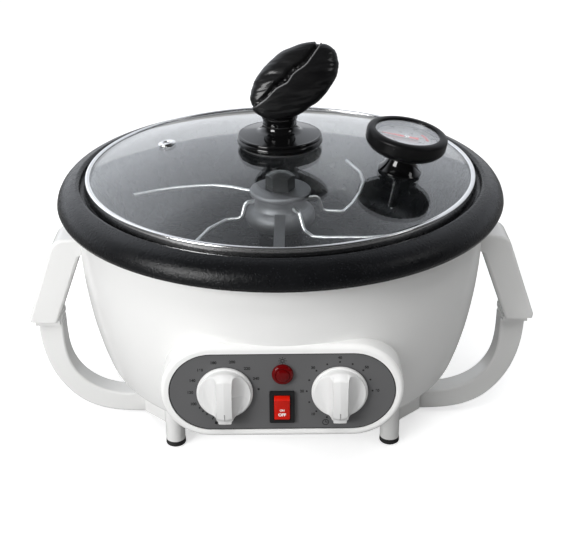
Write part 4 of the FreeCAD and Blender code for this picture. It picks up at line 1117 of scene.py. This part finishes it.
@dataclass
class Thermometer:
    """Dial thermometer: bell foot, case, bright ring, printed dial, lens and hand."""

    HAND: ClassVar[Line] = ((16.2, -0.22), (16.2, 0.22), (0, 1.0), (-5.0, 0.8), (-7.6, 1.5), (-7.6, -1.5),
                            (-5.0, -0.8), (0, -1.0))
    stem: float = 2.65
    neck: float = 15.0
    inside: float = 22.3
    dial_low: float = 21.4
    dial_top: float = 22.0
    lens_low: float = 25.7
    lens_top: float = 27.1
    hand_low: float = 22.75
    hand_top: float = 23.25
    axle: float = 0.95
    # Directions in degrees of the hand at rest and of both ends of the scale.
    rest: float = 172.0
    zero: float = 220.3
    full: float = -38.0
    print_thick: float = 0.04

    def at(self, height: float) -> Matrix:
        """Frame over the dial at a height."""
        return dome_frame(*GAUGE_XY) @ shift(0.0, 0.0, height)

    def plate(self, bore: float, edge: float, low: float, high: float) -> list[Point]:
        """Outline of a flat ring or disc."""
        return [(bore, low), (edge, low), (edge, high), (bore, high)]

    def build(self) -> None:
        """Make every piece and the prints."""
        stem, neck, inside, dial_low = self.stem, self.neck, self.inside, self.dial_low
        foot = outline((stem, 0.2), (13.4, 0.2), ((14.0, 0.6), (14.0, 1.4)), ((10.6, 5.6), (8.8, 10.0)),
                       (8.6, neck), (stem, neck), parts=14)
        case = outline((stem, neck), (12.5, neck), ((22.6, 16.0), (25.9, 20.0)), (26.1, 25.6),
                       ((25.5, 27.2), (24.4, 27.9)), ((22.6, 28.25), (21.2, 28.1)),
                       ((20.75, 27.7), (20.7, 27.15)), (22.5, 27.15), (22.5, dial_low), (20.0, dial_low),
                       (20.0, 19.0), (stem, 19.0), parts=12)
        band = [(19.6, 22.05), (inside, 22.05), (inside, 25.65), (20.9, 25.65)]
        dial = self.plate(self.axle, inside, dial_low, self.dial_top)
        lens = self.plate(0, inside, self.lens_low, self.lens_top)
        for name, node, shape, finish, segments, soft, slot in (
                ("foot", "foot", foot, Finish.PHENOLIC, 128, 0.2, "black_phenolic"),
                ("case", "case", case, Finish.GAUGE, 160, 0.25, "gauge_black"),
                ("ring", "band", band, Finish.BAND, 160, 0.1, "rolled_steel"),
                ("dial", "dial", dial, Finish.DIAL, 128, 0.0, "dial_silver"),
                ("lens", "lens", lens, Finish.GAUGE_GLASS, 128, 0.0, "gauge_glass")):
            piece = turned("gauge_" + name, shape, finish, self.at(0.0), segments, soft)
            put(piece, "lid", slot, "thermometer_" + node)
        self.scale()
        self.hand()

    def angle(self, fahrenheit: float) -> float:
        """Direction in degrees in which the dial shows a temperature."""
        return self.zero + (self.full - self.zero) * fahrenheit / 500

    def numbers(self, top: int, step: int, radius: float, size: float, start: float,
                end: float) -> list[Mesh]:
        """Upright numbers at even steps round the dial.

        Args:
            top: Last number; the first is 0.
            step: Step between them.
            radius: Distance from the axis, in millimetres.
            size: Height of the type, in millimetres.
            start: Direction of the first, in degrees.
            end: Direction of the last, in degrees.

        Returns:
            Their meshes.
        """
        over = self.at(self.dial_top + PRINT_LIFT)
        return [lettering(str(value), size, over @ shift(*polar(radius, start + (end - start) * value / top)),
                          self.print_thick) for value in range(0, top + 1, step)]

    def scale(self) -> None:
        """Print both scales and the red zone."""
        over = self.at(self.dial_top + PRINT_LIFT)
        celsius = self.angle(32), self.angle(482)
        marks = [arc_marks(over, 51, 16.2, self.zero, self.full, 0.9, 0.16),
                 arc_marks(over, 11, 15.9, self.zero, self.full, 1.7, 0.26),
                 arc_marks(over, 26, 11.6, *celsius, 0.7, 0.14),
                 arc_marks(over, 6, 11.4, *celsius, 1.2, 0.22)]
        marks += self.numbers(500, 100, 18.2, 2.3, self.zero, self.full)
        marks += self.numbers(250, 50, 9.2, 1.7, *celsius)
        for text, x, y in (("°F", -8.9, -9.0), ("°C", -7.7, -6.4)):
            marks.append(lettering(text, 1.9, over @ shift(x, y), self.print_thick))
        put(joined("dial_print", marks, Finish.INK_DARK), "lid", "gauge_black")
        zone = [arc_marks(over, 60, 13.6, 37.5, -1.5, 1.7, 0.5, Finish.INK_RED)]
        put(joined("dial_red_zone", zone, Finish.INK_RED), "lid", "rocker_red")

    def hand(self) -> None:
        """Red tapered hand with its tail, boss and axle."""
        rows = [[(x, y, z) for x, y in self.HAND] for z in (self.hand_low, self.hand_top)]
        mesh = finished(skinned(rows), "hand", self.at(0.0) @ rotation(self.rest, "Z"))
        boss = outline((0, 14.4), (0.8, 14.4), (0.8, 22.4), (1.9, 22.4), (1.9, 23.6),
                       ((1.4, 24.1), (0, 24.3)))
        for piece in (mesh_object("gauge_hand", mesh, Finish.POINTER),
                      turned("gauge_hand_boss", boss, Finish.RING, self.at(0.0), 48, 0.1)):
            put(piece, "pointer", "pointer_black", "thermometer_pointer")


@dataclass
class Stirrer:
    """Spun hub with its cap, and the bent wires."""

    # Corner points of each wire: x, y and the height above the hub's bottom.
    ARMS: ClassVar[dict[str, tuple[Place, ...]]] = {
        "upper_sweep_arm": ((-10, 6, 20.1), (-34, 19.5, 20.1), (-46, 22.4, 20.1), (-58, 21.6, 20.1),
                            (-73, 18.4, 20.1), (-84, 14.4, 20.1), (-101, 6.0, 20.1)),
        "left_sweep_arm": ((-8, 4, 17), (-24, -1, 17), (-26.8, -5.2, 7), (-37, -7.4, 7), (-48, -22, 7),
                           (-56, -44, 7), (-60, -66, 7)),
        "front_sweep_arm": ((5, -8, 17.5), (12.5, -21.5, 17.5), (15.6, -27.4, 7.6), (21, -34, 6),
                            (31, -36, 6), (57, -36.5, 6), (74, -34.5, 6), (92, -30, 6.2)),
        "rear_sweep_arm": ((8, 2, 18), (26, 6, 18), (29.2, 6.8, 7), (43.6, 6.6, 6.2), (50.6, 19.4, 7),
                           (57, 37, 8), (61, 56, 9), (60, 73, 9.7), (51, 94, 11.5))}
    low: float = 148.5
    high: float = 171.5
    cap: float = 175.5
    shaft: float = 4.0
    wire: float = 1.3
    bend: float = 4.0

    def build(self) -> None:
        """Make hub, cap and wires."""
        low, high, cap, bore = self.low, self.high, self.cap, self.shaft
        hub = outline((bore, low), (18.4, low), ((22.6, low + 2.9), (24.0, low + 7.0)),
                      ((22.8, low + 11.3), (19.2, low + 14.5)), ((17.9, low + 16.7), (17.4, low + 19.5)),
                      (17.4, high), (bore, high), parts=14)
        put(turned("spun_hub", hub, Finish.HUB, soft=0.2), "stirrer", "hub_metal", "stirrer_hub")
        top = outline((bore, high), (19.8, high), ((20.7, high + 0.5), (21.0, high + 1.7)),
                      ((20.6, high + 3.2), (19.4, cap)), (9.6, cap), (9.2, cap - 0.4), (bore, cap - 0.4))
        put(turned("hub_cap", top, Finish.HUB, soft=0.15), "stirrer", "hub_metal", "stirrer_cap")
        for node, points in self.ARMS.items():
            corners = [(x, y, z + low) for x, y, z in points]
            name = node + "_wire"
            mesh = bent_wire(name, corners, self.wire, self.bend, Finish.WIRE)
            put(mesh_object(name, mesh, Finish.WIRE, 50), "stirrer", "stirrer_steel", node)


@dataclass
class ControlKnob:
    """White knob with a skirt ring, a scooped body, a grip bar and a pointer tab."""

    name: str
    body: str
    x: float
    rise: float = 0.2
    ring: float = 16.7
    radius: float = 15.6
    top: float = 12.1
    bottom: float = 2.0
    bar: float = 8.9
    tab: float = 7.9
    tip: float = 17.2
    # Where the pointer tab starts, as a share of the circle and in millimetres, and how low it lies.
    tab_from: float = -0.6
    tab_start: float = -8.0
    tab_drop: float = 2.7
    tab_slope: float = 0.12
    # The drum's falling rim and the bar's rounded top.
    shoulder: float = 4.0
    shoulder_drop: float = 3.2
    crown: float = 0.09
    # The scoops beside the bar: their floor, the rise of their wall and its radius along the bar.
    scoop_low: float = 4.0
    scoop_rise: float = 8.4
    scoop_mid: float = 7.2
    scoop_taper: float = 3.2
    scoop_least: float = 2.6
    scoop_most: float = 9.6
    # Straight hem, rounded edge and the share of the radius where it starts.
    hem: float = 0.45
    edge: float = 0.55
    edge_from: float = 0.965
    # Dark line: half its width, its start and its length.
    line: float = 0.28
    line_from: float = -8.6
    line_long: float = 5.2
    line_steps: int = 12
    around: int = 240
    across: int = 64

    def reach(self, angle: float) -> float:
        """Distance from the axis to the body's outline.

        Args:
            angle: Direction, in radians.

        Returns:
            The distance, in millimetres.
        """
        x, y = math.cos(angle), math.sin(angle)
        if y >= self.tab_from:
            return self.radius
        return smooth_max(self.radius, min(self.tab / 2 / max(abs(x), TINY), self.tip / -y), 0.7)

    def height(self, x: float, y: float) -> float:
        """Height of the front face above the panel.

        Args:
            x: Place across the bar, in millimetres.
            y: Place along it, in millimetres.

        Returns:
            The height, in millimetres.
        """
        r, shoulder = math.hypot(x, y), self.radius - self.shoulder
        if r < shoulder:
            drum = self.top - (r / shoulder) ** 2
        else:
            drum = self.top - 1 - self.shoulder_drop * ((r - shoulder) / (self.shoulder - 0.5)) ** 2
        if y < self.tab_start:
            tab = self.top - self.tab_drop - self.tab_slope * max(self.tab_start - 4 - y, 0)
            drum = smooth_max(drum, tab, 1.2)
        scoop = min(max(self.scoop_mid + y / self.scoop_taper, self.scoop_least), self.scoop_most)
        inward = self.bar / 2 + scoop - abs(x)
        if inward > scoop:
            return drum - self.crown * abs(x)
        wall = self.scoop_low + self.scoop_rise * (1 - math.sqrt(1 - (max(inward, 0.0) / scoop) ** 2))
        return smooth_min(drum, wall, 0.5)

    def grip(self) -> bmesh.types.BMesh:
        """Scooped body with its bar and tab, in rings about the axis.

        Returns:
            The shape.
        """
        rows = []
        for i in range(self.across + 1):
            share = math.sin(math.pi / 2 * i / self.across)
            edge = max(0.0, (share - self.edge_from) / (1 - self.edge_from))
            drop = self.edge * (1 - math.sqrt(max(0.0, 1 - edge**2)))
            row = []
            for k in range(self.around if i else 1):
                angle = math.tau * k / self.around
                r = self.reach(angle) * share
                x, y = r * math.cos(angle), r * math.sin(angle)
                row.append((x, y, self.height(x, y) - drop))
            rows.append(row)
        hems = (self.bottom + self.hem, self.bottom)
        rows += [[(x, y, low) for x, y, _ in rows[self.across]] for low in hems]
        return skinned(rows + [[(0.0, 0.0, self.bottom)]])

    def build(self) -> None:
        """Make the body and the skirt, with the dark line on the bar."""
        place, ring = panel_frame(self.x, self.rise), self.ring
        grip = mesh_object(self.name + "_grip", finished(self.grip(), "grip", place), Finish.CONTROL, 45)
        skirt = outline((3.2, 0.5), (ring, 0.5), (ring, 1.6), ((ring - 0.4, 2.3), (ring - 1.2, 2.5)),
                        (3.2, 2.5))
        for piece in (grip, turned(self.name + "_skirt", skirt, Finish.CONTROL, place, soft=0.1)):
            put(piece, self.body, "control_plastic", self.name)
        rows, line = [], self.line
        for i in range(self.line_steps + 1):
            y = self.line_from - self.line_long * i / self.line_steps
            corners = ((-line, PRINT_LIFT), (line, PRINT_LIFT), (line, -0.2), (-line, -0.2))
            rows.append([(x, y, self.height(x, y) + lift) for x, lift in corners])
        mark = mesh_object(self.name + "_mark", finished(skinned(rows), "mark", place), Finish.INK_DARK)
        put(mark, self.body, "black_nylon")


@dataclass
class Controls:
    """Prints on the panel with a painted gap shadow round its edge, the two knobs, the lamp and the rocker.
    """

    # Numbers of the two scales with their directions in degrees.
    HEAT: ClassVar[dict[str, float]] = {"100": 203.0, "120": 180.5, "140": 157.6, "160": 134.0, "180": 107.8,
                                        "200": 76.7, "220": 49.3, "240": 25.5}
    TIME: ClassVar[dict[str, float]] = {"10": 225.0, "20": 180.0, "30": 135.0, "40": 90.0, "50": 45.0,
                                        "60": 0.0}
    spacing: float = 68.0
    rise: float = 0.2
    length: float = 134.6
    height: float = 51.0
    # Width of the painted gap shadow round the panel's edge.
    line: float = 0.5
    dot: float = 1.25
    lamp: Point = (0.3, 12.2)
    switch: Point = (-0.2, -9.9)
    rocker_radius: float = 8.1
    rocker_width: float = 9.4
    rocker_lean: float = 10.0
    rocker_dip: float = 2.2
    rocker_edge: float = 0.4

    def build(self) -> None:
        """Make everything on the panel."""
        ControlKnob("temperature_knob", "temperature_control", -self.spacing / 2, self.rise).build()
        ControlKnob("timer_knob", "timer_control", self.spacing / 2, self.rise).build()
        self.prints()
        self.lens()
        self.rocker()

    def prints(self) -> None:
        """Black print: both scales and the two pictograms, and the painted shadow in the gap round the
        panel's edge.
        """
        left, right = (panel_frame(x, self.rise, PRINT_LIFT) for x in (-self.spacing / 2, self.spacing / 2))
        work = []
        for over, numbers, size, radius in ((left, self.HEAT, 2.5, 20.6), (right, self.TIME, 2.4, 22.3)):
            for text, angle in numbers.items():
                work.append(lettering(text, size, over @ shift(*polar(radius, angle))))
        sun = panel_frame(self.lamp[0], self.lamp[1] + 8.6, PRINT_LIFT)
        clock = right @ shift(-8.2, -21.4)
        work += [arc_marks(*row) for row in (
            (left, 3, 18.7, 215.0, 233.5, self.dot), (left, 2, 20.1, 4.9, 4.9, 1.4),
            (left, 2, 19.4, 247.0, 247.0, 2.0, 0.7), (left, 2, 21.8, 255.0, 255.0, 2.0, 1.6),
            (right, 12, 19.5, 247.5, 0.0, self.dot),
            (sun, 20, 1.0, 0.0, 342.0, 0.5, 0.4), (sun, 8, 2.05, 0.0, 315.0, 0.9, 0.4),
            (clock, 36, 1.8, 0.0, 350.0, 0.45, 0.4), (clock, 2, 0.6, 90.0, 0.0, 1.3, 0.4))]
        put(joined("panel_print", work, Finish.INK_DARK), "housing", "black_nylon")
        # Dark band painted as the shadow in the gap round the panel.
        put(self.painted_gap_shadow(), "housing", "black_nylon")

    def painted_gap_shadow(self) -> Piece:
        """Painted shadow: a dark band in the gap round the panel's edge.

        Returns:
            The object.
        """
        radius = self.height / 2
        half = self.length / 2 - radius
        rows = []
        for side in (1, -1):
            for i in range(61):
                (x0, y0), (x1, y1) = (polar(r, i * 3.0 - 90) for r in (radius, radius - self.line))
                x0, y0, x1, y1 = side * (half + x0), side * y0, side * (half + x1), side * y1
                rows.append([(x0, y0, 0.03), (x1, y1, 0.03), (x1, y1, -0.3), (x0, y0, -0.3)])
        mesh = finished(skinned(rows, ring=True), "edge", panel_frame())
        return mesh_object("panel_gap_shadow", mesh, Finish.INK_DARK)

    def lens(self) -> None:
        """Ruby lens: a round shoulder and a flat raised middle."""
        shape = outline((0, -6.0), (4.6, -6.0), (4.6, 0.02), (6.4, 0.02), (6.4, 0.6),
                        ((6.1, 2.0), (5.0, 2.7)), ((4.5, 2.75), (4.15, 2.5)), (4.0, 3.2),
                        ((2.2, 3.75), (0, 3.9)))
        lens = turned("lamp_dome", shape, Finish.LAMP, panel_frame(*self.lamp), 96, 0.12)
        put(lens, "housing", "lamp_red", "lamp_lens")

    def rocker_side(self) -> list[Point]:
        """Side view of the rocker: a V-shaped top on a round belly.

        Returns:
            The outline, in distance up the panel and height above it.
        """
        dip, lean, radius = self.rocker_dip, math.tan(math.radians(self.rocker_lean)), self.rocker_radius
        slope = 1 + lean**2
        reach = (math.sqrt((dip * lean) ** 2 + slope * (radius**2 - dip**2)) - dip * lean) / slope
        rim = dip + reach * lean
        start = math.degrees(math.atan2(rim, reach))
        belly = [polar(radius, start - (180 + 2 * start) * i / 28) for i in range(1, 28)]
        return soften([(-reach, rim), (0.0, dip), (reach, rim), *belly], 0.6, 4)

    def rocker(self) -> None:
        """Red rocker with soft edges and its two words."""
        half, lean = self.rocker_width / 2, self.rocker_lean
        shape = skinned([[(x, y, z) for y, z in self.rocker_side()] for x in (-half, half)])
        bmesh.ops.recalc_face_normals(shape, faces=shape.faces)
        corners = [edge for edge in shape.edges if edge.calc_face_angle(0) > 1.0
                   and abs(abs(edge.verts[0].co.x) - half * MM) < TINY
                   and abs(edge.verts[0].co.x - edge.verts[1].co.x) < WELD / 100]
        bmesh.ops.bevel(shape, geom=corners, offset=self.rocker_edge * MM, segments=3, affect="EDGES",
                        profile=0.5)
        place = panel_frame(*self.switch) @ rotation(lean, "X")
        cap = mesh_object("rocker_cap", finished(shape, "rocker", place), Finish.ROCKER, 40)
        put(cap, "rocker", "rocker_red", "power_rocker")
        words = []
        for text, y, size in (("ON", -1.3, 1.8), ("OFF", -4.3, 2.6)):
            height = self.rocker_dip + abs(y) * math.tan(math.radians(lean)) + 0.03
            words.append(lettering(text, size, place @ shift(0.0, y, height) @ rotation(-lean, "X")))
        put(joined("rocker_words", words, Finish.INK_WHITE), "rocker", "white_plastic")


# ---------------------------------------------------------------- stage


@dataclass
class Studio:
    """White floor and surroundings, soft lamps and the camera."""

    # Name, place in metres, size in metres, power in watts, and whether polished faces show it.
    LAMPS: ClassVar[tuple[tuple[str, Place, Point, float, bool], ...]] = (
        ("key", (-2.0, -1.8, 1.25), (1.2, 1.2), 64.0, True),
        ("top", (0.0, -0.8, 1.9), (1.6, 0.8), 20.0, False),
        ("right", (1.4, 0.2, 1.6), (0.6, 0.6), 4.0, False),
        ("front", (-0.75, -2.25, 1.0), (0.8, 0.8), 8.0, False),
        ("fill", (1.5, -0.5, 1.1), (0.4, 0.5), 1.8, True),
        ("side", (1.7, 1.0, 0.4), (0.5, 0.8), 2.5, False),
        ("back", (0.0, 2.2, 0.35), (2.4, 0.7), 2.0, True))
    aim: Place = (0.0, 0.0, 0.14)
    camera_at: Place = (0.0, -0.6947, 0.4608)
    camera_down: float = 22.148
    camera_roll: float = -0.5607
    lens: float = 69.50
    sensor: float = 36.0
    shift: Point = (0.00745, -0.1572)
    clip: Point = (0.05, 50.0)
    ambient: float = 0.12
    # Brightness of the room by height, in shares of the way up, and its tint.
    room: Line = ((0.0, 0.8), (0.1, 0.95), (0.42, 1.0), (0.62, 0.62), (0.8, 0.32), (0.95, 0.26))
    room_tint: Colour = (0.94, 0.975, 1.04)
    # How much brighter the sides are, where the back wall starts, and the level before it.
    bright_sides: float = 0.7
    behind: Point = (-0.1, 0.45)
    front_room: float = 0.035
    left_from: Point = (-0.08, -0.5)
    left_wall: float = 1.8
    floor_size: float = 4.0
    floor_glow: float = 0.58
    floor_bounce: float = 0.36

    def build(self) -> None:
        """Make everything round the roaster."""
        self.camera()
        self.floor()
        self.world()
        self.lamps()

    def camera(self) -> None:
        """Camera that looks down at the roaster's front."""
        data = bpy.data.cameras.new("camera")
        data.lens = self.lens
        data.sensor_width = self.sensor
        data.shift_x, data.shift_y = self.shift
        data.clip_start, data.clip_end = self.clip
        camera = linked("camera", data)
        turn = rotation(90.0 - self.camera_down, "X") @ rotation(self.camera_roll, "Z")
        camera.matrix_world = Matrix.Translation(self.camera_at) @ turn
        bpy.context.scene.camera = camera

    def floor(self) -> None:
        """Round white floor that keeps the roaster's shadow."""
        shape = bmesh.new()
        bmesh.ops.create_circle(shape, cap_ends=True, radius=self.floor_size, segments=96)
        mesh = plain(shape, "floor")
        tree = Tree("floor_white")
        tree.set(Base_Color=tree.blend(tree.noise(tree.position(), 3.0), grey(0.80), grey(0.79)),
                 Roughness=0.6, Specular_IOR_Level=0.2)
        glow = tree.add("Emission", {"Strength": self.floor_glow}).outputs[0]
        lit = tree.add("AddShader", {0: tree.shader.outputs[0], 1: glow}).outputs[0]
        dull = tree.add("BsdfDiffuse", {"Color": grey(self.floor_bounce)}).outputs[0]
        tree.feed(tree.output, {"Surface": tree.by_ray("Is Camera Ray", dull, lit)})
        mesh.materials.append(tree.material)
        linked("floor", mesh)

    def world(self) -> None:
        """White walls under a dark ceiling for mirrors and glass, an even softer light for the rest."""
        world = bpy.data.worlds.new("surroundings")
        bpy.context.scene.world = world
        world.use_nodes = True
        tree = Nodes(world.node_tree)
        way = tree.add("SeparateXYZ", {0: tree.add("TexCoord").outputs["Generated"]}).outputs
        sideways = tree.math("ABSOLUTE", way["X"])
        ramp = tree.add("ValToRGB", {0: tree.math("MULTIPLY_ADD", sideways, -self.bright_sides, way["Z"])})
        ramp.color_ramp.interpolation = "EASE"
        stops = ramp.color_ramp.elements
        for position, level in self.room:
            stop = stops[0] if position == 0.0 else stops.new(position)
            stop.color = (*(level * part for part in self.room_tint), 1.0)
        stops.remove(stops[-1])
        behind = tree.spread(way["Y"], 0.0, 1.0, *self.behind, "SMOOTHSTEP")
        walls = tree.blend(behind, grey(self.front_room), ramp.outputs[0])
        left = tree.spread(way["X"], 1.0, self.left_wall, *self.left_from, "SMOOTHSTEP")
        room = tree.add("Background", {"Color": walls, "Strength": left}).outputs[0]
        light, white = (tree.add("Background", {"Color": grey(1.0), "Strength": level}).outputs[0]
                        for level in (self.ambient, 1.0))
        seen = tree.by_ray("Is Camera Ray", tree.by_ray("Is Diffuse Ray", room, light), white)
        tree.add("OutputWorld", {"Surface": seen})

    def lamps(self) -> None:
        """Key from the left, soft lights from above, the front and both sides, one low at the back."""
        for name, at, size, power, mirrored in self.LAMPS:
            data = bpy.data.lights.new(name, "AREA")
            data.shape = "RECTANGLE"
            data.size, data.size_y = size
            data.energy = power
            lamp = linked(name, data)
            lamp.location = at
            lamp.rotation_euler = (Vector(self.aim) - Vector(at)).to_track_quat("-Z", "Y").to_euler()
            lamp.visible_glossy = mirrored


# ---------------------------------------------------------------- carried-over solids


@dataclass
class Solids:
    """Solids of the frame whose shape is shown as it is, each with its finish."""

    OWN: ClassVar[dict[str, Finish]] = {"pan_screws": Finish.COATING, "flat_scraper_arm": Finish.HUB,
                                        "stirrer_nut": Finish.NUT}

    def dress(self) -> None:
        """Give every node of the frame a finish after its slot in the record."""
        by_slot = {finish.value.name: finish for finish in Finish}
        for row in frame["record"]["subparts"]:
            node = frame["nodes"][row["node"]]
            slot = row["material_slot"].replace("pointer_black", "pointer_red")
            finish = self.OWN.get(row["node"]) or by_slot[slot]
            node.data.materials.clear()
            node.data.materials.append(finish.built())


def main() -> None:
    """Build the looks in order."""
    logging.basicConfig(level=logging.INFO, format="%(name)s: %(message)s")
    bpy.context.scene.view_settings.view_transform = "Standard"
    Studio().build()
    Solids().dress()
    for part in (Pan(), Lid(), BeanKnob(), Thermometer(), Stirrer(), Controls()):
        part.build()


if __name__ == "__main__":
    main()
